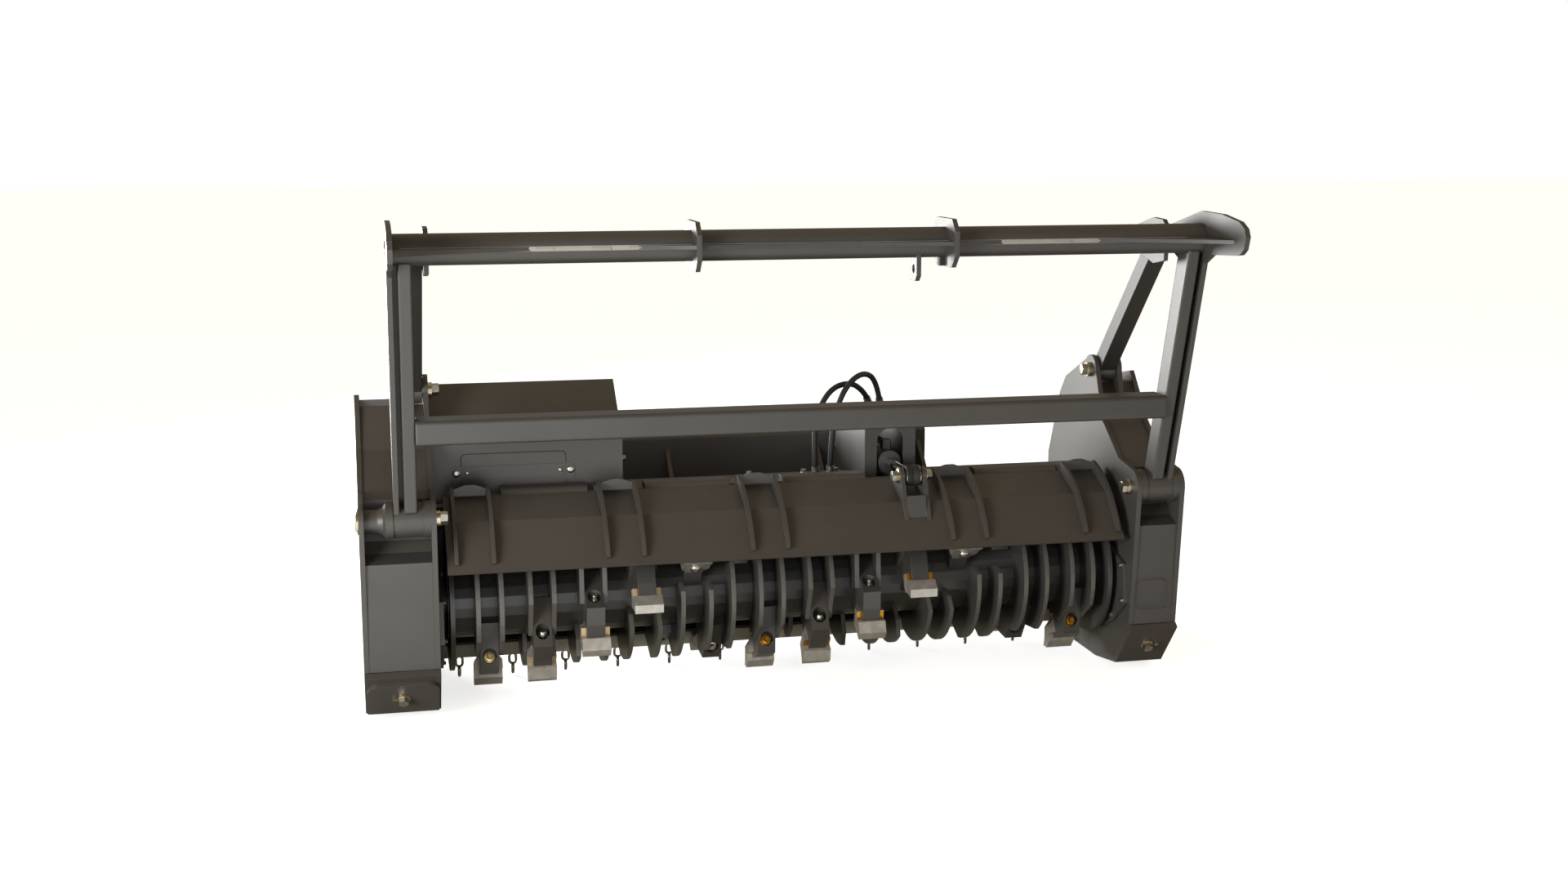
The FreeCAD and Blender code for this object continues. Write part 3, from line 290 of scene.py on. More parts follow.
def make_finishes():
    c = colours()
    FINISHES.update(
        paint=enamel("satin_enamel_on_plate", c.paint[:], 0.42, dust_and_top_shade=0.55),
        tube=enamel("satin_enamel_on_rolled_tube", c.paint[:], 0.36, dust_and_top_shade=0.45, corner=0.007),
        rotor=enamel("satin_enamel_on_rotor", c.rotor[:], 0.30, dust_and_top_shade=0.0),
        limiter=enamel("scoured_enamel_on_bite_limiters", c.rotor[:], 0.34, dust_and_top_shade=0.0,
                       worn_rim=linear("575551")),
        # painted shade: the braces' paint is darkened to under half, for the shade on their faces
        # that look down and forward
        shaded=enamel("satin_enamel_painted_shade_on_braces", scaled(c.paint, 0.45), 0.45, dust_and_top_shade=0.4),
        cover=enamel("satin_enamel_on_sheet_cover", c.paint[:], 0.38, dust_and_top_shade=0.6, grain_mm=1.8),
        # painted light: the rail's enamel is paled to lift it out of the shadow it lies in under the
        # shell
        rail=enamel("enamel_painted_light_on_chain_rail", linear("bdb7a2"), 0.5, dust_and_top_shade=0.2),
        # painted highlight: a light grey on the top tube's front edge stands in for the light along
        # it
        bright=enamel("painted_highlight_on_rolled_lip", linear("aaa8a3"), 0.42, dust_and_top_shade=0.0),
        dark=enamel("unlit_gap_between_plates", c.primer[:], 0.7, dust_and_top_shade=0.0),
        tooth=ground_steel("ground_tool_steel_tooth", c.tooth[:], 0.33, metallic=0.55),
        # painted reflection: tan steel and yellow zinc paint a warm reflection on the teeth's seats
        # and nuts; yellow zinc also plates the hinge rod's nut
        tan=ground_steel("tan_painted_reflection_tooth_seat", linear("cdb48a"), 0.4, metallic=0.6),
        straw=zinc_plate("straw_passivated_zinc", c.straw_zinc[:], 0.25),
        yellow=zinc_plate("yellow_passivated_zinc", c.yellow_zinc[:], 0.2),
        zinc=zinc_plate("clear_passivated_zinc", c.zinc[:], 0.26),
        chain=zinc_plate("bright_drawn_chain_steel", c.chain[:], 0.2, spangle_mm=5),
        chrome=zinc_plate("hard_chromed_rod", c.chrome[:], 0.08, spangle_mm=40),
        rubber=hose_cover("wrapped_hose_rubber", c.rubber[:]))


# Shapes

def aimed(at, axis, spin=0.0):
    """A frame at a point whose local Z runs along an axis."""
    turn = Vector(axis).normalized().to_track_quat("Z", "Y").to_matrix().to_4x4()
    return Matrix.Translation(at) @ turn @ Matrix.Rotation(spin, 4, "Z")


def bridge(mesh, first, second):
    """Join two closed rings with as many points by quads."""
    for i in range(len(first)):
        j = (i + 1) % len(first)
        mesh.faces.new((first[i], first[j], second[j], second[i]))


def extrude_outline(mesh, outline, depth, place):
    """Extrude a closed outline of (x, y) along local Z."""
    low = [mesh.verts.new(place @ Vector((x, y, 0))) for x, y in outline]
    high = [mesh.verts.new(place @ Vector((x, y, depth))) for x, y in outline]
    mesh.faces.new(low[::-1])
    mesh.faces.new(high)
    bridge(mesh, low, high)


def extrude_side_view(mesh, outline, x0, x1):
    """A plate across X from an outline of (y, z), all in metres."""
    place = Matrix(((0, 0, 1, x0), (1, 0, 0, 0), (0, 1, 0, 0), (0, 0, 0, 1)))
    extrude_outline(mesh, outline, x1 - x0, place)


def turn_profile(mesh, profile, place, sides=28):
    """Turn (radius, height) pairs round local Z; a zero radius closes to a point."""
    rings = []
    for radius, height in profile:
        ring = []
        for i in range(sides if radius else 1):
            angle = 2 * math.pi * i / sides
            at = Vector((radius * math.cos(angle), radius * math.sin(angle), height))
            ring.append(mesh.verts.new(place @ at))
        rings.append(ring)
    for low, high in zip(rings, rings[1:]):
        for i in range(sides):
            j = (i + 1) % sides
            corners = [low[i % len(low)], low[j % len(low)], high[j % len(high)], high[i % len(high)]]
            unique = list(dict.fromkeys(corners))
            if len(unique) > 2:
                mesh.faces.new(unique)
    for ring, flip in ((rings[0], True), (rings[-1], False)):
        if len(ring) > 2:
            mesh.faces.new(ring[::-1] if flip else ring)


def disc(mesh, radius, thick, place):
    """A flat washer, closed at its middle."""
    turn_profile(mesh, [(radius, 0), (radius, thick), (0, thick)], place, 32)


def hexagon(mesh, across, height, place):
    """A hexagon with its corners chamfered by a shallow cone, as on a forged bolt head."""
    corner, flat, face = across / math.sqrt(3), across / 2, across * 0.46
    crown = height - (corner - flat) * 0.55
    arch = (corner - flat) * 0.4

    def point(radius, degrees, level):
        angle = math.radians(degrees)
        at = Vector((radius * math.cos(angle), radius * math.sin(angle), level))
        return mesh.verts.new(place @ at)

    base = [point(corner, 60 * i, 0) for i in range(6)]
    # each side's top edge arches, so the middle of a side stands higher than its corners
    upper, top = [], []
    for i in range(12):
        upper.append(point(flat, 30 * i, crown + arch) if i % 2 else point(corner, 30 * i, crown))
        top.append(point(face, 30 * i, height))
    mesh.faces.new(base[::-1])
    mesh.faces.new(top)
    for i in range(6):
        j = (i + 1) % 6
        mesh.faces.new((base[i], base[j], upper[2 * j], upper[2 * i + 1], upper[2 * i]))
    bridge(mesh, upper, top)


# shares of a bolt's width across the flats
WASHER_THICK, HEAD_HIGH, THREAD_RADIUS, THREAD_PITCH = 0.12, 0.62, 0.31, 0.09


def hex_bolt(mesh, at, axis, across, washer=0.68, spin=0.0, seat=None):
    """Washer and hex head standing on a face at a point, along an axis.

    The washer's radius is a share of the head's width across the flats. A second mesh
    takes the washer where it has another plating."""
    place = aimed(at, axis, spin)
    thick, rim = across * WASHER_THICK, across * washer
    turn_profile(mesh if seat is None else seat,
                 [(rim, 0), (rim, thick * 0.8), (rim * 0.96, thick), (0, thick)], place, 32)
    hexagon(mesh, across, across * HEAD_HIGH, place @ Matrix.Translation((0, 0, thick)))


def hex_nut(mesh, at, axis, across, stub, spin=0.0):
    """Washer, nut and about a stub's length of the threaded end that stands out of it."""
    hex_bolt(mesh, at, axis, across, spin=spin)
    base = across * (HEAD_HIGH + WASHER_THICK)
    radius, pitch = across * THREAD_RADIUS, across * THREAD_PITCH
    rings = [(radius, base - 0.001)]
    turns = max(2, int(stub / pitch))
    for i in range(turns):
        rings += [(radius, base + i * pitch), (radius * 0.9, base + (i + 0.5) * pitch)]
    rings += [(radius * 0.86, base + turns * pitch), (0, base + turns * pitch)]
    turn_profile(mesh, rings, aimed(at, axis), 20)


# a button head's (radius, height) in shares of its radius: rim, crown, then the socket
DOME = ((1, 0), (1, 0.16), (0.9, 0.38), (0.68, 0.53), (0.42, 0.56), (0.40, 0.22), (0, 0.22))


def dome_bolt(mesh, at, axis, radius):
    """A button head with a round socket sunk in."""
    turn_profile(mesh, [(radius * r, radius * h) for r, h in DOME], aimed(at, axis))


def block(mesh, low, high, chamfer):
    """A machined block between two corners, its upright edges chamfered."""
    (x0, y0, z0), (x1, y1, z1) = low, high
    c = chamfer
    outline = [(x0 + c, y0), (x1 - c, y0), (x1, y0 + c), (x1, y1 - c),
               (x1 - c, y1), (x0 + c, y1), (x0, y1 - c), (x0, y0 + c)]
    extrude_outline(mesh, outline, z1 - z0, Matrix.Translation((0, 0, z0)))


def rounded_outline(width, height, radius, steps=6):
    """Corner arcs of a rounded rectangle about its centre."""
    points = []
    for k, (sx, sy) in enumerate(((1, 1), (-1, 1), (-1, -1), (1, -1))):
        for i in range(steps + 1):
            angle = math.radians(90 * (k + i / steps))
            points.append((sx * (width / 2 - radius) + radius * math.cos(angle),
                           sy * (height / 2 - radius) + radius * math.sin(angle)))
    return points


def seam_line(mesh, outline, line, depth, place):
    """A closed flat band of a given width just inside an outline, for a groove."""
    middle = Vector((sum(p[0] for p in outline), sum(p[1] for p in outline))) / len(outline)
    inner = []
    for point in outline:
        away = Vector(point) - middle
        step = [math.copysign(line, reach) if abs(reach) > line else 0 for reach in away]
        inner.append(Vector(point) - Vector(step))
    rows = [[mesh.verts.new(place @ Vector((p[0], p[1], level))) for p in ring]
            for ring, level in ((outline, 0), (outline, depth), (inner, depth), (inner, 0))]
    for first, second in zip(rows, rows[1:]):
        bridge(mesh, first, second)


def new_object(name, data):
    obj = bpy.data.objects.new(name, data)
    bpy.context.collection.objects.link(obj)
    return obj


def finish_piece(name, mesh, finish, body="housing", edge=0.0, smooth=35.0):
    """Turn the built mesh into a piece that rides on its body.

    Faces shade smooth up to an angle in degrees, and an edge radius breaks the sharp edges."""
    bmesh.ops.recalc_face_normals(mesh, faces=mesh.faces)
    data = bpy.data.meshes.new(name)
    mesh.to_mesh(data)
    mesh.free()
    data.materials.append(FINISHES[finish])
    data.polygons.foreach_set("use_smooth", [True] * len(data.polygons))
    data.set_sharp_from_angle(angle=math.radians(smooth))
    piece = new_object(name, data)
    if edge:
        bevel = piece.modifiers.new("broken_edges", "BEVEL")
        bevel.width, bevel.segments = edge, 2
        bevel.limit_method, bevel.angle_limit = "ANGLE", math.radians(32)
        bevel.harden_normals = True
    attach(piece, body)
    return piece


def fasteners(name, mesh, plating, body="housing"):
    """Bolts, nuts, washers, screws or a pipe of one plating."""
    return finish_piece(name, mesh, plating, body, smooth=40)


def paint_node(name, finish):
    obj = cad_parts[name]
    obj.data.materials.clear()
    obj.data.materials.append(FINISHES[finish])


# Operators

class DressingOperator:
    bl_options = {"REGISTER", "UNDO"}

    def execute(self, context):
        self.build()
        return {"FINISHED"}


class MULCHER_OT_studio(DressingOperator, bpy.types.Operator):
    """Pale floor, white surround, soft lamps and the camera at the photographed angle"""
    bl_idname = "mulcher.studio"
    bl_label = "Studio and camera"

    FLOOR_HALF = 40
    LENS, SENSOR, FAR = 42.52, 36.0, 200    # millimetres, and metres to the far clip
    CAMERA_AT, PITCH, HEADING = (-1.0747, -4.7991, 1.5252), 80.21, -12.90
    FLOOR_GLOW = 0.76                       # brings the lit floor up to white
    # a board that only reflections see: y where it fades in, x across it, its brightness
    BOARD_AHEAD, BOARD_ACROSS, BOARD_LIGHT = (-0.25, -0.75), (1.9, -1.4), (0.75, 1.7)
    KHAKI, KHAKI_GLOW = (1, 0.88, 0.58, 1), 0.14
    GROUND = (0.27, 0.25, 0.21, 1)
    # grey walls, a warm lit ceiling and a dark zenith, which the paint mirrors softly
    WALLS = ((0.0, (0.27, 0.27, 0.27, 1)), (0.30, (0.24, 0.23, 0.22, 1)),
             (0.60, (0.46, 0.36, 0.22, 1)), (0.86, (0.30, 0.24, 0.17, 1)),
             (1.0, (0.16, 0.15, 0.14, 1)))
    # name, place, aim, size in metres, watts, tint
    LAMPS = (("left_key", (-4.0, -3.3, 0.9), (-0.5, 0, 0.5), 2.2, 260, "fffdf8"),
             ("back_left_strip", (-3.0, 4.2, 0.9), (0.6, 0, 0.5), 2.4, 480, "ffffff"),
             ("front_fill", (-0.8, -7.0, 1.3), (0, 0, 0.6), 3.0, 60, "f6f8ff"),
             ("top_soft", (0.3, 1.0, 4.6), (0, 0, 0.4), 3.6, 15, "ffe2bd"),
             ("right_rim", (4.6, -0.6, 2.4), (0.4, 0, 0.7), 2.0, 30, "ffdca8"))

    def build(self):
        scene = bpy.context.scene
        scene.view_settings.view_transform = "Standard"
        mesh = bmesh.new()
        bmesh.ops.create_grid(mesh, x_segments=1, y_segments=1, size=self.FLOOR_HALF)
        data = bpy.data.meshes.new("studio_floor")
        mesh.to_mesh(data)
        mesh.free()
        floor = new_object("studio_floor", data)
        data.materials.append(self.floor_finish())
        self.surround(scene)
        self.lamps()
        lens = bpy.data.cameras.new("product_camera")
        lens.lens, lens.sensor_width, lens.clip_end = self.LENS, self.SENSOR, self.FAR
        camera = new_object("product_camera", lens)
        camera.location = self.CAMERA_AT
        camera.rotation_euler = (math.radians(self.PITCH), 0, math.radians(self.HEADING))
        scene.camera = camera

    def camera_sees(self, tree, path):
        """1 for rays from the camera, straight or through clear parts, otherwise 0."""
        seen = add_node(tree, "Math", {0: path.outputs["Is Camera Ray"],
                                       1: path.outputs["Is Transmission Ray"]}, operation="MAXIMUM")
        return seen.outputs["Value"]

    def floor_finish(self):
        """Matt studio paper: shows a soft shadow, and is white to the camera elsewhere."""
        material, tree, surface, where = new_finish(
            "matt_studio_paper", colours().floor[:], 0.0, 0.9)
        grain = noise(tree, where, 6, 4)
        tone = blend_colours(tree, grain, scaled(colours().floor, 0.99),
                             scaled(colours().floor, 1.01))
        tree.links.new(tone, surface.inputs["Base Color"])
        # the camera sees open floor as white and keeps the soft shadow under the head
        path = add_node(tree, "LightPath")
        seen = self.camera_sees(tree, path)
        glow = add_node(tree, "Emission", values={"Color": WHITE, "Strength": self.FLOOR_GLOW})
        open_floor = add_node(tree, "AddShader", {0: surface.outputs["BSDF"],
                                                  1: glow.outputs["Emission"]})
        # paint and steel mirror a pale board before the head, brighter at its left, and
        # khaki ground below it
        apart = add_node(tree, "SeparateXYZ", {"Vector": where})
        glossy = path.outputs["Is Glossy Ray"]
        ahead = ramp(tree, apart.outputs["Y"], *self.BOARD_AHEAD)
        across = ramp(tree, apart.outputs["X"], *self.BOARD_ACROSS, *self.BOARD_LIGHT)
        mirrored = product(tree, product(tree, ahead, across), glossy)
        board_glow = add_node(tree, "Emission", {"Strength": mirrored}, {"Color": WHITE})
        below = ramp(tree, glossy, 0, 1, 0, self.KHAKI_GLOW)
        khaki = add_node(tree, "Emission", {"Strength": below}, {"Color": self.KHAKI})
        sheen = add_node(tree, "AddShader", {0: board_glow.outputs["Emission"],
                                             1: khaki.outputs["Emission"]})
        ground = add_node(tree, "BsdfDiffuse", values={"Color": self.GROUND})
        lit_floor = add_node(tree, "AddShader", {0: ground.outputs["BSDF"],
                                                 1: sheen.outputs["Shader"]})
        pick = add_node(tree, "MixShader", {"Fac": seen, 1: lit_floor.outputs["Shader"],
                                            2: open_floor.outputs["Shader"]})
        tree.links.new(pick.outputs["Shader"], tree.nodes["Material Output"].inputs["Surface"])
        return material

    def surround(self, scene):
        world = scene.world or bpy.data.worlds.new("studio_surround")
        scene.world = world
        world.use_nodes = True
        tree = world.node_tree
        tree.nodes.clear()
        seen = self.camera_sees(tree, add_node(tree, "LightPath"))
        heading = add_node(tree, "TexCoord")
        rise = add_node(tree, "SeparateXYZ", {"Vector": heading.outputs["Generated"]})
        walls = add_node(tree, "ValToRGB", {"Fac": rise.outputs["Z"]})
        stops = walls.color_ramp.elements
        for stop, (spot, colour) in ((stops[0], self.WALLS[0]), (stops[1], self.WALLS[-1])):
            stop.position, stop.color = spot, colour
        for spot, colour in self.WALLS[1:-1]:
            stops.new(spot).color = colour
        ambient = add_node(tree, "Background", {"Color": walls.outputs["Color"]}, {"Strength": 1.0})
        white = add_node(tree, "Background", values={"Color": WHITE, "Strength": 1.0})
        pick = add_node(tree, "MixShader", {"Fac": seen, 1: ambient.outputs["Background"],
                                            2: white.outputs["Background"]})
        out = tree.nodes.new("ShaderNodeOutputWorld")
        tree.links.new(pick.outputs["Shader"], out.inputs["Surface"])

    def lamps(self):
        for name, at, aim, size, watts, tint in self.LAMPS:
            lamp = bpy.data.lights.new(name, "AREA")
            lamp.shape, lamp.size, lamp.energy = "SQUARE", size, watts
            lamp.color = linear(tint)
            obj = new_object(name, lamp)
            obj.location = at
            obj.rotation_euler = (Vector(aim) - Vector(at)).to_track_quat("-Z", "Y").to_euler()


class MULCHER_OT_paint(DressingOperator, bpy.types.Operator):
    """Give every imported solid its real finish"""
    bl_idname = "mulcher.paint"
    bl_label = "Paint and plating"

    # the other solids take the frame's paint
    OTHERS = {"rotor_drum": "rotor", "bite_limiters": "limiter", "tooth_holders": "rotor",
              "rotor_end_discs": "rotor", "teeth": "tooth", "chain_rail": "rail",
              "chain_curtain": "chain", "cylinder_rod": "chrome", "clevis_pin": "zinc",
              "barrel_pin": "zinc", "push_frame_pins": "zinc", "hose_a": "rubber",
              "hose_b": "rubber", "hose_fittings": "zinc", "drive_cover": "cover",
              "drive_cover_end": "cover", "push_frame_crossbar": "tube",
              "push_frame_uprights": "tube", "push_frame_braces": "shaded"}

    def build(self):
        make_finishes()
        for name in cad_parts:
            paint_node(name, self.OTHERS.get(name, "paint"))


TOOTH_WIDTH, TOOTH_COUNT = 0.075, 25
FIRST_TURN, STEP_TURN, ODD_TURN = -65, 15, 195   # degrees round the rotor


def tooth_places():
    """(index, matrix) of each tooth: local -Y outward, local -Z leading."""
    low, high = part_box("teeth")
    first = low[0] + TOOTH_WIDTH / 2
    pitch = (high[0] - low[0] - TOOTH_WIDTH) / (TOOTH_COUNT - 1)
    for i in range(TOOTH_COUNT):
        angle = FIRST_TURN + STEP_TURN * i + (ODD_TURN if i % 2 else 0)
        yield i, (Matrix.Translation((first + i * pitch, *ROTOR_AXIS))
                  @ Matrix.Rotation(math.radians(-angle), 4, "X"))


class MULCHER_OT_tooth_bolts(DressingOperator, bpy.types.Operator):
    """Nut and thread behind each tooth, dome head before it, strips on its shoulders whose tan and
    yellow paint a warm reflection
    """
    bl_idname = "mulcher.tooth_bolts"
    bl_label = "Tooth bolts and seats"

    # the bolt's axis from the rotor's axis, and where its nut and head stand along local Z
    REACH, NUT_AT, HEAD_AT = 0.164, 0.020, -0.079
    NUT_WAY, HEAD_WAY = Vector((0, 0, 1)), Vector((0, 0.25, -1))
    STUB, HEAD = 0.012, 0.014                          # thread's length and head's radius
    REFLECTION_PLATED = {0: "straw", 11: "yellow", 24: "yellow"}  # straw and yellow on these teeth's nuts paint a warm reflection; the other teeth have clear zinc nuts
    TAN_REFLECTION_SEATS = 10                                     # teeth from the left whose strips are tan, the rest yellow, both a painted warm reflection
    SEAT_LEVEL = Matrix(((1, 0, 0, 0), (0, 0, -1, -0.1857), (0, 1, 0, -0.0550), (0, 0, 0, 1)))
    STRIPS, STRIP_LONG, STRIP_THICK = ((-0.0370, -0.0245), (0.0245, 0.0370)), 0.0225, 0.0012

    def build(self):
        nuts = {plating: bmesh.new() for plating in ("zinc", "straw", "yellow")}
        seats = {plating: bmesh.new() for plating in ("tan", "yellow")}
        for i, place in tooth_places():
            turn = place.to_3x3()
            hex_nut(nuts[self.REFLECTION_PLATED.get(i, "zinc")], place @ Vector((0, -self.REACH, self.NUT_AT)),
                    turn @ self.NUT_WAY, sizes().tooth_bolt, self.STUB, spin=0.3 * i)
            dome_bolt(nuts["zinc"], place @ Vector((0, -self.REACH, self.HEAD_AT)),
                      turn @ self.HEAD_WAY, self.HEAD)
            # painted reflection: the strips' tan and yellow stand for a warm reflection
            seat = seats["tan" if i < self.TAN_REFLECTION_SEATS else "yellow"]
            for low, high in self.STRIPS:
                strip = [(low, 0), (high, 0), (high, self.STRIP_LONG), (low, self.STRIP_LONG)]
                extrude_outline(seat, strip, self.STRIP_THICK, place @ self.SEAT_LEVEL)
        for plating, mesh in nuts.items():
            fasteners("tooth_nuts_" + plating, mesh, plating, "rotor")
        finish_piece("tooth_strips_painted_reflection_left", seats["tan"], "tan", "rotor")
        finish_piece("tooth_strips_painted_reflection_right", seats["yellow"], "yellow", "rotor")


class MULCHER_OT_pin_bolts(DressingOperator, bpy.types.Operator):
    """Bolts, washers and nuts on the push frame's pins and the top tube's end"""
    bl_idname = "mulcher.pin_bolts"
    bl_label = "Pin bolts"

    FRONT, REAR = (-0.157, 0.540), (0.156, 0.823)   # (y, z) of the pins
    # side, and x of the face that a bolt or nut stands on
    INNER_ENDS = ((-1, -0.9025), (1, 0.9555))
    OUTER_ENDS = ((-1, -1.1015, FRONT), (1, 1.1015, FRONT), (-1, -0.9905, REAR), (1, 1.0435, REAR))
    TUBE_END = (-1.0030, -0.348, 1.228)
    SUNK = 0.0005                                   # an inner washer's base lies in the pin
    TURN = 0.26                                     # of the hexagons, in radians
    # across the flats and height of a nut, radius and thickness of its washer
    PIN_NUT, PIN_WASHER = (0.050, 0.0075), (0.032, 0.0025)
    TUBE_NUT, TUBE_WASHER = (0.042, 0.016), (0.026, 0.003)

    def build(self):
        heads, washers = bmesh.new(), bmesh.new()
        for y, z in (self.FRONT, self.REAR):
            for side, x in self.INNER_ENDS:
                hex_bolt(heads, (x + side * self.SUNK, y, z), (-side, 0, 0), sizes().pin_bolt, 0.7,
                         self.TURN, washers)
        # the pins' outer ends: a flat nut round each, no thicker than the pin stands out
        for side, x, (y, z) in self.OUTER_ENDS:
            hexagon(heads, *self.PIN_NUT, aimed((x, y, z), (side, 0, 0), self.TURN))
            disc(washers, *self.PIN_WASHER, aimed((x, y, z), (side, 0, 0)))
        tube_end = aimed(self.TUBE_END, (-1, 0, 0), 0.1)
        disc(washers, *self.TUBE_WASHER, tube_end)
        hexagon(heads, *self.TUBE_NUT, tube_end)
        fasteners("pin_end_bolts", heads, "zinc")
        fasteners("pin_end_washers", washers, "straw")


class MULCHER_OT_plate_bolts(DressingOperator, bpy.types.Operator):
    """Bolts in the wear pads, the bearing flanges and the deck plate"""
    bl_idname = "mulcher.plate_bolts"
    bl_label = "Plate bolts"

    # the way the shoes' front slopes face, and the way up along them
    OUTWARD, UPHILL = Vector((0, -0.773, -0.634)), Vector((0, -0.634, 0.773))
    # each pad bolt's foot, and how far beside it along X the small stop is
    PADS = (((-1.0060, -0.1460, 0.0700), -0.022), ((1.0325, -0.1400, 0.0815), 0.026))
    RISE = 0.004                                  # up the slope from the foot to the bolt
    STOP, STOP_HIGH = (0.011, 0.011, 0.002), 0.006
    # half the bearing flange's bolts as (y, z) from the rotor's axis
    FLANGE = ((0.057, 0.085), (0.200, 0.045), (0.216, -0.052), (0.141, -0.113), (0.070, -0.152))
    FLANGE_FACES = ((-0.8985, 1), (0.9515, -1))   # x, and the way along X that the face looks
    # deck bolts from the plate's left, right, and front and rear edges
    DECK_LEFT, DECK_RIGHT, DECK_EDGE = (0.033, 0.192), 0.024, 0.016

    def build(self):
        mesh, seats, shade_painted = bmesh.new(), bmesh.new(), bmesh.new()
        self.pads(mesh, seats)
        self.flanges(mesh, shade_painted)
        self.deck(mesh)
        fasteners("plate_bolts", mesh, "zinc")
        # painted shade: the left flange's bolts in frame paint
        finish_piece("flange_bolts_painted_shade", shade_painted, "paint", smooth=40)
        fasteners("pad_bolt_washers", seats, "straw")

    def pads(self, mesh, seats):
        for foot, beside in self.PADS:
            at = Vector(foot) + self.UPHILL * self.RISE
            hex_bolt(mesh, at, self.OUTWARD, sizes().pad_bolt, 0.72, 0.4, seats)
            stop = aimed(at + Vector((beside, 0, 0)) + self.UPHILL * self.RISE, self.OUTWARD)
            extrude_outline(mesh, rounded_outline(*self.STOP), self.STOP_HIGH, stop)

    def flanges(self, bright, shade_painted):
        """The left flange's bolts take the frame's paint as a painted shade; the right one's are
        bright zinc.
        """
        for (x, way), mesh in zip(self.FLANGE_FACES, (shade_painted, bright)):
            for y, z in self.FLANGE:
                for mirror in (-1, 1):
                    at = (x, ROTOR_AXIS[0] + mirror * y, ROTOR_AXIS[1] + z)
                    hex_bolt(mesh, at, (way, 0, 0), sizes().flange_bolt, 0.7, z * 9)

    def deck(self, mesh):
        low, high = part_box("deck_cover_plate")
        for x in (*(low[0] + inset for inset in self.DECK_LEFT), high[0] - self.DECK_RIGHT):
            for y in (low[1] + self.DECK_EDGE, high[1] - self.DECK_EDGE):
                hex_bolt(mesh, (x, y, high[2]), (0, 0, 1), sizes().deck_bolt, 0.75, x * 20)


class MULCHER_OT_drive_cover(DressingOperator, bpy.types.Operator):
    """Grooved panel, bare name place and button bolts on the drive cover's front"""
    bl_idname = "mulcher.drive_cover"
    bl_label = "Drive cover panel"

    # width, height, corner radius; thickness
    LID, LID_THICK = (0.276, 0.108, 0.012), 0.0012
    EAR, EAR_THICK = (0.048, 0.048, 0.010), 0.0009
    NAME_PLACE, NAME_THICK = (0.262, 0.036, 0.004), 0.0012
    GROOVE_CORNER, GROOVE_HIGH = 0.013, 0.0007
    RAISED = 0.004                        # name place and ear bolts, above the lid's middle
    SCREW_OUT, SCREW = 0.1235, 0.005      # from the middle along X, and head's radius
    BOLT_OUT, BOLT = 0.1515, 0.0105
    END_BOLT_AT, END_BOLT = (0.114, 0.626), 0.014

    def build(self):
        low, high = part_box("access_panel")
        middle = ((low[0] + high[0]) / 2, high[1], (low[2] + high[2]) / 2)
        front = Matrix.Translation(middle) @ Matrix.Rotation(math.radians(90), 4, "X")
        self.panel(front)
        self.plate(front)
        self.bolts(front)

    def panel(self, front):
        """A thin lid with ears at its sides, edged by a groove."""
        lid = bmesh.new()
        width, height = self.LID[:2]
        extrude_outline(lid, rounded_outline(*self.LID), self.LID_THICK, front)
        for side in (-1, 1):
            ear = [(x + side * width / 2, y) for x, y in rounded_outline(*self.EAR)]
            extrude_outline(lid, ear, self.EAR_THICK, front)
        piece = finish_piece("drive_cover_lid", lid, "cover")
        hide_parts("access_panel")
        groove = bmesh.new()
        line = sizes().seam
        outline = rounded_outline(width + 2 * line, height + 2 * line, self.GROOVE_CORNER)
        seam_line(groove, outline, line, self.GROOVE_HIGH, front)
        finish_piece("drive_cover_groove", groove, "dark")

    def plate(self, front):
        """The maker's place, left bare: a thin plate in the cover's paint, held by two screws."""
        plate, screws = bmesh.new(), bmesh.new()
        level = front @ Matrix.Translation((0, self.RAISED, self.LID_THICK))
        extrude_outline(plate, rounded_outline(*self.NAME_PLACE), self.NAME_THICK, level)
        finish_piece("bare_name_place", plate, "cover", edge=0.0004)
        for side in (-1, 1):
            at = level @ Vector((side * self.SCREW_OUT, 0, self.NAME_THICK))
            dome_bolt(screws, at, (0, -1, 0), self.SCREW)
        fasteners("name_place_screws", screws, "zinc")

    def bolts(self, front):
        mesh = bmesh.new()
        for side in (-1, 1):
            at = front @ Vector((side * self.BOLT_OUT, self.RAISED, self.EAR_THICK))
            dome_bolt(mesh, at, (0, -1, 0), self.BOLT)
        low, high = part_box("drive_cover_end")
        hex_bolt(mesh, (high[0], *self.END_BOLT_AT), (1, 0, 0), self.END_BOLT, 0.75)
        fasteners("drive_cover_bolts", mesh, "zinc")


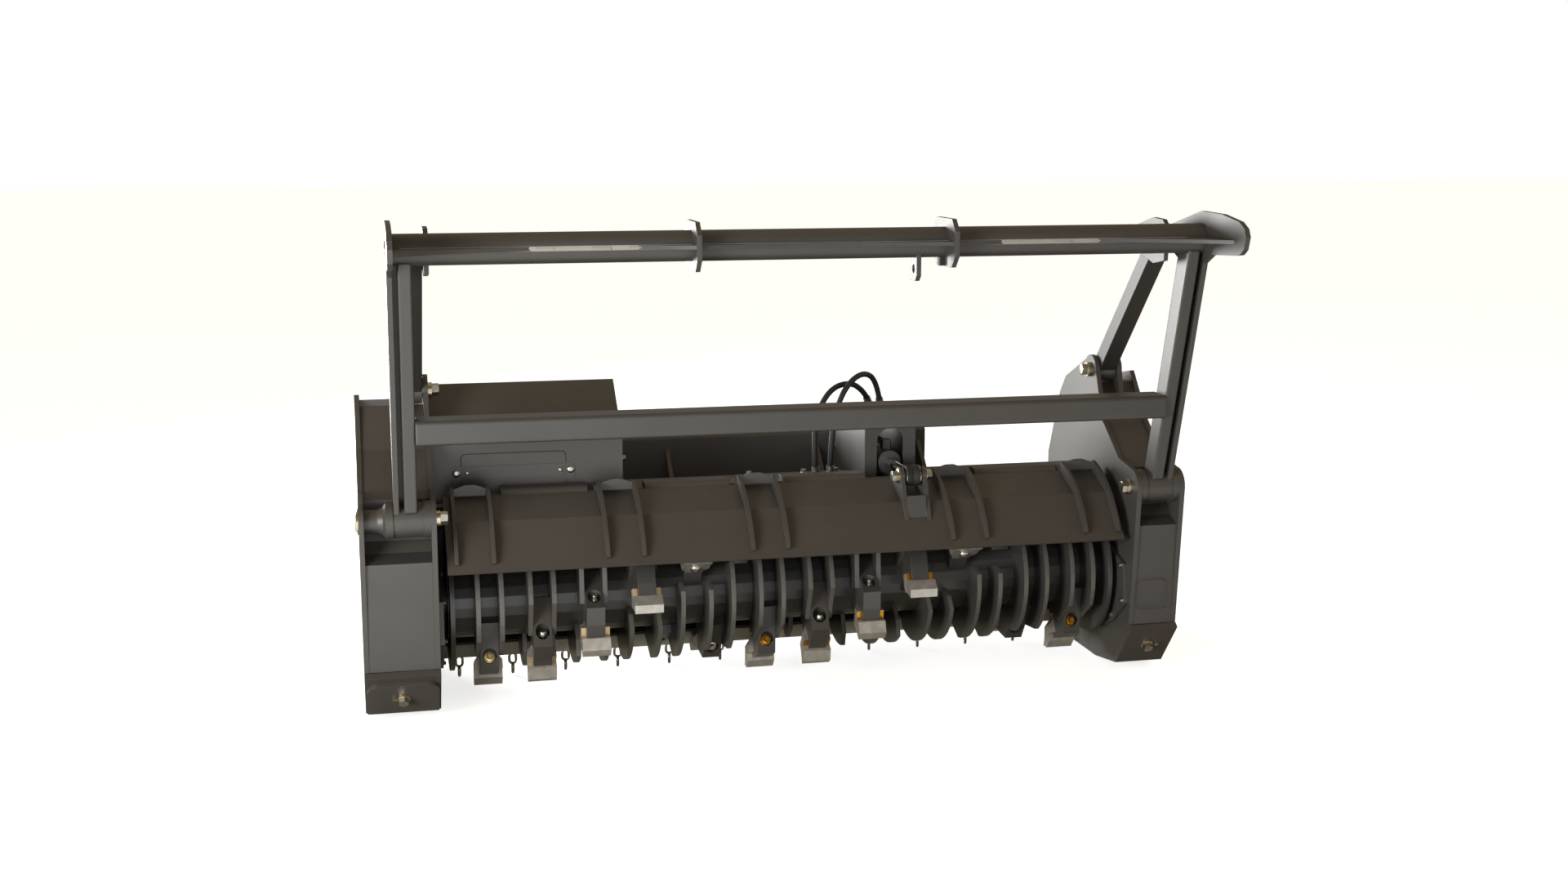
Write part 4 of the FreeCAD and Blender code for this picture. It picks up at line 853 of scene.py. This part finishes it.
class MULCHER_OT_cylinder_trim(DressingOperator, bpy.types.Operator):
    """Clevis bolts, painted rod eye, port block and pipe of the hood's cylinder"""
    bl_idname = "mulcher.cylinder_trim"
    bl_label = "Cylinder trim"

    EYE, CLEVIS_BOLT = (-0.058, 0.578), 0.026   # pin's (y, z), bolt across the flats
    EYE_PAINT = 0.0212, 0.0286, 0.0406, 0.002   # bore, outer radius, width, corner
    GROOVE, GROOVE_DEEP = ((0.0185, 0.0190), (0.0215, 0.0220)), 0.0004
    # the port block's low and high corner, and the pipe's ends, from the cylinder's mid plane
    PORT = (-0.013, 0.185, 0.607), (0.013, 0.214, 0.636)
    PIPE = (-0.006, 0.212, 0.628), (-0.016, 0.330, 0.648)
    PIPE_RADIUS, NUT_RADIUS, NUT_LONG = 0.0065, 0.009, 0.012

    def build(self):
        low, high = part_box("hood_clevis")
        self.clevis(low[0], high[0])
        self.eye((low[0] + high[0]) / 2)
        self.ports((low[0] + high[0]) / 2)

    def clevis(self, left, right):
        heads, washers = bmesh.new(), bmesh.new()
        for x, way in ((left, -1), (right, 1)):
            hex_bolt(heads, (x, *self.EYE), (way, 0, 0), self.CLEVIS_BOLT, 0.78, 0.2, washers)
        fasteners("clevis_bolts", heads, "zinc", "hood")
        fasteners("clevis_washers", washers, "straw", "hood")

    def eye(self, x):
        """Paint on the rod's eye: a sleeve over the ring, grooved at mid width."""
        ring = bmesh.new()
        bore, outer, wide, corner = self.EYE_PAINT
        place = aimed((x - wide / 2, *self.EYE), (1, 0, 0))
        (left, left_foot), (right_foot, right) = self.GROOVE
        foot = outer - self.GROOVE_DEEP
        profile = [(bore, 0), (outer - corner, 0), (outer, corner), (outer, left),
                   (foot, left_foot), (foot, right_foot), (outer, right),
                   (outer, wide - corner), (outer - corner, wide), (bore, wide)]
        turn_profile(ring, profile, place, 48)
        finish_piece("rod_eye_paint", ring, "dark", "hood_cylinder_rod", smooth=40)

    def ports(self, x):
        port = bmesh.new()
        low, high, start, end = ((x + dx, y, z) for dx, y, z in self.PORT + self.PIPE)
        block(port, low, high, 0.003)
        finish_piece("port_block", port, "paint", "hood_cylinder_barrel", edge=0.001)
        pipe = bmesh.new()
        way = Vector(end) - Vector(start)
        profile = [(self.NUT_RADIUS, 0), (self.NUT_RADIUS, self.NUT_LONG),
                   (self.PIPE_RADIUS, self.NUT_LONG + 0.001), (self.PIPE_RADIUS, way.length)]
        turn_profile(pipe, profile, aimed(start, way), 24)
        fasteners("port_pipe", pipe, "zinc", "hood_cylinder_barrel")


class MULCHER_OT_frame_trim(DressingOperator, bpy.types.Operator):
    """Cover seam, lip with a painted highlight, stop block and hinge rod nut"""
    bl_idname = "mulcher.frame_trim"
    bl_label = "Frame trim"

    # the top tube's front edge: flats, cleared lengths at the left and right end, tilt
    FLATS, LIP_LEFT, LIP_RIGHT, TILT, LIP_HALF = 44, 0.02, 0.06, 0.0012, 0.006
    # the stop block's x and y spans, and its foot and top from the tube's underside
    STOP_X, STOP_Y, STOP_Z = (0.342, 0.366), (-0.358, -0.338), (-0.021, 0.001)
    SEAM, SEAM_DEEP = (0.088, 0.084, 0.014), 0.0004   # width, height, corner radius
    SEAM_IN, SEAM_Z = 0.046, 0.241        # its middle: from the box's left side, and height
    HINGE_END, HINGE_NUT = (0.2615, 0.047, 0.548), 0.016

    def build(self):
        self.lip()
        self.cover_seam()
        self.hinge_end()

    def lip(self):
        """The top tube's front edge, light grey as a painted highlight: short flats whose tilt
        varies, and a stop block.
        """
        mesh = bmesh.new()
        low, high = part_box("push_frame_top_tube")
        y, z = low[1], (low[2] + high[2]) / 2
        under, over, back = z - self.LIP_HALF, z + self.LIP_HALF, y + 0.0010
        left, right = low[0] + self.LIP_LEFT, high[0] - self.LIP_RIGHT
        for i in range(self.FLATS):
            x0, x1 = (left + (right - left) * (i + k) / self.FLATS for k in (0, 1))
            tilt = self.TILT * math.sin(i * 2.4)
            strip = [(back, under), (y - 0.0008 + tilt * 0.4, under), (y - 0.0030 + tilt, z),
                     (y - 0.0008 - tilt * 0.4, over), (back, over)]
            extrude_side_view(mesh, strip, x0, x1)
        # the flats' light grey is a painted highlight
        finish_piece("tube_lip_painted_highlight", mesh, "bright", smooth=10)
        stop = bmesh.new()
        corners = ((x, y, low[2] + z) for x, y, z in zip(self.STOP_X, self.STOP_Y, self.STOP_Z))
        block(stop, *corners, 0.002)
        finish_piece("tube_stop_block", stop, "dark", edge=0.001)

    def cover_seam(self):
        """Groove of the welded insert in the right box's front."""
        mesh = bmesh.new()
        low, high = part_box("side_box_cover_right")
        place = (Matrix.Translation((low[0] + self.SEAM_IN, low[1], self.SEAM_Z))
                 @ Matrix.Rotation(math.radians(90), 4, "X"))
        seam_line(mesh, rounded_outline(*self.SEAM), sizes().seam * 0.7, self.SEAM_DEEP, place)
        finish_piece("cover_insert_seam", mesh, "dark")

    def hinge_end(self):
        mesh = bmesh.new()
        hex_bolt(mesh, self.HINGE_END, (1, 0, 0), self.HINGE_NUT, 0.7, 0.3)
        fasteners("hinge_rod_nut", mesh, "yellow")


class MULCHER_OT_chains(DressingOperator, bpy.types.Operator):
    """Round-bar links that hang from the rear rail"""
    bl_idname = "mulcher.chains"
    bl_label = "Chain curtain"

    LEFT, RIGHT, OVER, FOOT = 0.047, 0.02, 0.004, 0.0015   # margins, and the links' lowest edge
    # width, share of the drop and turn of the upper and the lower link
    UPPER, LOWER = (0.026, 0.52, 0.0), (0.022, 0.48, 1.35)
    RAIL_FRONT, RAIL_UP = 0.006, 0.013      # how far the bar stands before and above the rail
    ARC_STEPS, BAR_SIDES = 6, 8

    def build(self):
        mesh = bmesh.new()
        low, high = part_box("chain_curtain")
        count = sizes().strands
        bar = sizes().chain_bar / 2
        first, last = low[0] + self.LEFT, high[0] - self.RIGHT
        y, top, foot = (low[1] + high[1]) / 2, high[2] + self.OVER, self.FOOT
        drop = top - foot + 2 * bar
        for i in range(count):
            x = first + i * (last - first) / (count - 1)
            for end, way, (width, share, turn) in ((top, -1, self.UPPER), (foot, 1, self.LOWER)):
                tall = drop * share
                self.link(mesh, (x, y, end + way * tall / 2), width, tall, bar, turn)
        piece = finish_piece("chain_links", mesh, "chain", "housing", smooth=60)
        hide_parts("chain_curtain")
        self.rail()

    def rail(self):
        """Flat bar under the shell's lip, rolled up over the lip's edge."""
        mesh = bmesh.new()
        low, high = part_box("chain_rail")
        y0, y1, z0, z1 = low[1] - self.RAIL_FRONT, high[1], low[2], high[2] + self.RAIL_UP
        wall = y0 + self.RAIL_FRONT
        section = [(y0, z0 + 0.003), (y0 + 0.003, z0), (y1, z0), (y1, high[2]),
                   (wall, high[2]), (wall, z1), (y0 + 0.001, z1), (y0, z1 - 0.001)]
        extrude_side_view(mesh, section, low[0], high[0])
        piece = finish_piece("chain_rail_bar", mesh, "rail")
        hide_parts("chain_rail")

    def link(self, mesh, centre, width, height, radius, turn):
        """A stadium ring of round bar, its long way vertical."""
        spin = Matrix.Rotation(turn, 3, "Z")
        half, reach = height / 2 - width / 2, width / 2 - radius
        path = []
        for start, shift in ((0, half), (math.pi, -half)):
            for step in range(self.ARC_STEPS + 1):
                angle = math.pi * step / self.ARC_STEPS + start
                path.append(Vector((reach * math.cos(angle), 0,
                                    reach * math.sin(angle) + shift)))
        count, ring = len(path), self.BAR_SIDES
        across = Vector((0, 1, 0))
        rows = []
        for i, point in enumerate(path):
            out = (path[(i + 1) % count] - path[i - 1]).normalized().cross(across)
            row = []
            for k in range(ring):
                angle = 2 * math.pi * k / ring
                at = point + out * radius * math.cos(angle) + across * radius * math.sin(angle)
                row.append(mesh.verts.new(Vector(centre) + spin @ at))
            rows.append(row)
        for first, second in zip(rows, rows[1:] + rows[:1]):
            bridge(mesh, first, second)


class MULCHER_OT_hoses(DressingOperator, bpy.types.Operator):
    """Two hydraulic hoses that arch from the deck to the cylinder's tower"""
    bl_idname = "mulcher.hoses"
    bl_label = "Hydraulic hoses"

    ROUTES = {
        "hose_a": [(0.165, 0.215, 0.560), (0.160, 0.212, 0.640), (0.170, 0.214, 0.720),
                   (0.215, 0.232, 0.782), (0.282, 0.268, 0.792), (0.332, 0.306, 0.756),
                   (0.346, 0.330, 0.735)],
        "hose_b": [(0.210, 0.222, 0.560), (0.213, 0.218, 0.650), (0.230, 0.216, 0.740),
                   (0.268, 0.228, 0.800), (0.320, 0.262, 0.820), (0.364, 0.298, 0.792),
                   (0.380, 0.318, 0.735)]}
    LENGTHS = {"hose_a": 0.4152, "hose_b": 0.4361}

    def build(self):
        for name, route in self.ROUTES.items():
            data = bpy.data.curves.new("hydraulic_" + name, "CURVE")
            data.dimensions = "3D"
            line = data.splines.new("NURBS")
            line.points.add(len(route) - 1)
            for point, at in zip(line.points, route):
                point.co = (*at, 1)
            line.order_u, line.use_endpoint_u = 3, True
            data.resolution_u, data.bevel_resolution, data.use_fill_caps = 12, 6, True
            data.bevel_depth = sizes().hose / 2
            hose = new_object("hydraulic_" + name, data)
            data.materials.append(FINISHES["rubber"])
            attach(hose, "housing")
            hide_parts(name)


# Panel and run

OPERATORS = (MULCHER_OT_studio, MULCHER_OT_paint, MULCHER_OT_hoses, MULCHER_OT_tooth_bolts,
             MULCHER_OT_pin_bolts, MULCHER_OT_plate_bolts, MULCHER_OT_drive_cover,
             MULCHER_OT_cylinder_trim, MULCHER_OT_frame_trim, MULCHER_OT_chains)


class MULCHER_PT_sidebar(bpy.types.Panel):
    """Every step of the dressing, in the order that it runs"""
    bl_idname = "MULCHER_PT_sidebar"
    bl_label = "Front Mount Mulcher"
    bl_space_type = "VIEW_3D"
    bl_region_type = "UI"
    bl_category = "Mulcher"

    def draw(self, context):
        for group in (context.scene.mulcher_colours, context.scene.mulcher_sizes):
            box = self.layout.box()
            for name in group.__annotations__:
                box.prop(group, name)
        for operator in OPERATORS:
            self.layout.operator(operator.bl_idname)


CLASSES = (MulcherColours, MulcherSizes) + OPERATORS + (MULCHER_PT_sidebar,)


def register():
    for cls in CLASSES:
        bpy.utils.register_class(cls)
    bpy.types.Scene.mulcher_colours = PointerProperty(type=MulcherColours)
    bpy.types.Scene.mulcher_sizes = PointerProperty(type=MulcherSizes)


def unregister():
    del bpy.types.Scene.mulcher_sizes
    del bpy.types.Scene.mulcher_colours
    for cls in reversed(CLASSES):
        bpy.utils.unregister_class(cls)


def main():
    register()
    for operator in OPERATORS:
        group, name = operator.bl_idname.split(".")
        getattr(getattr(bpy.ops, group), name)()


if __name__ == "__main__":
    main()
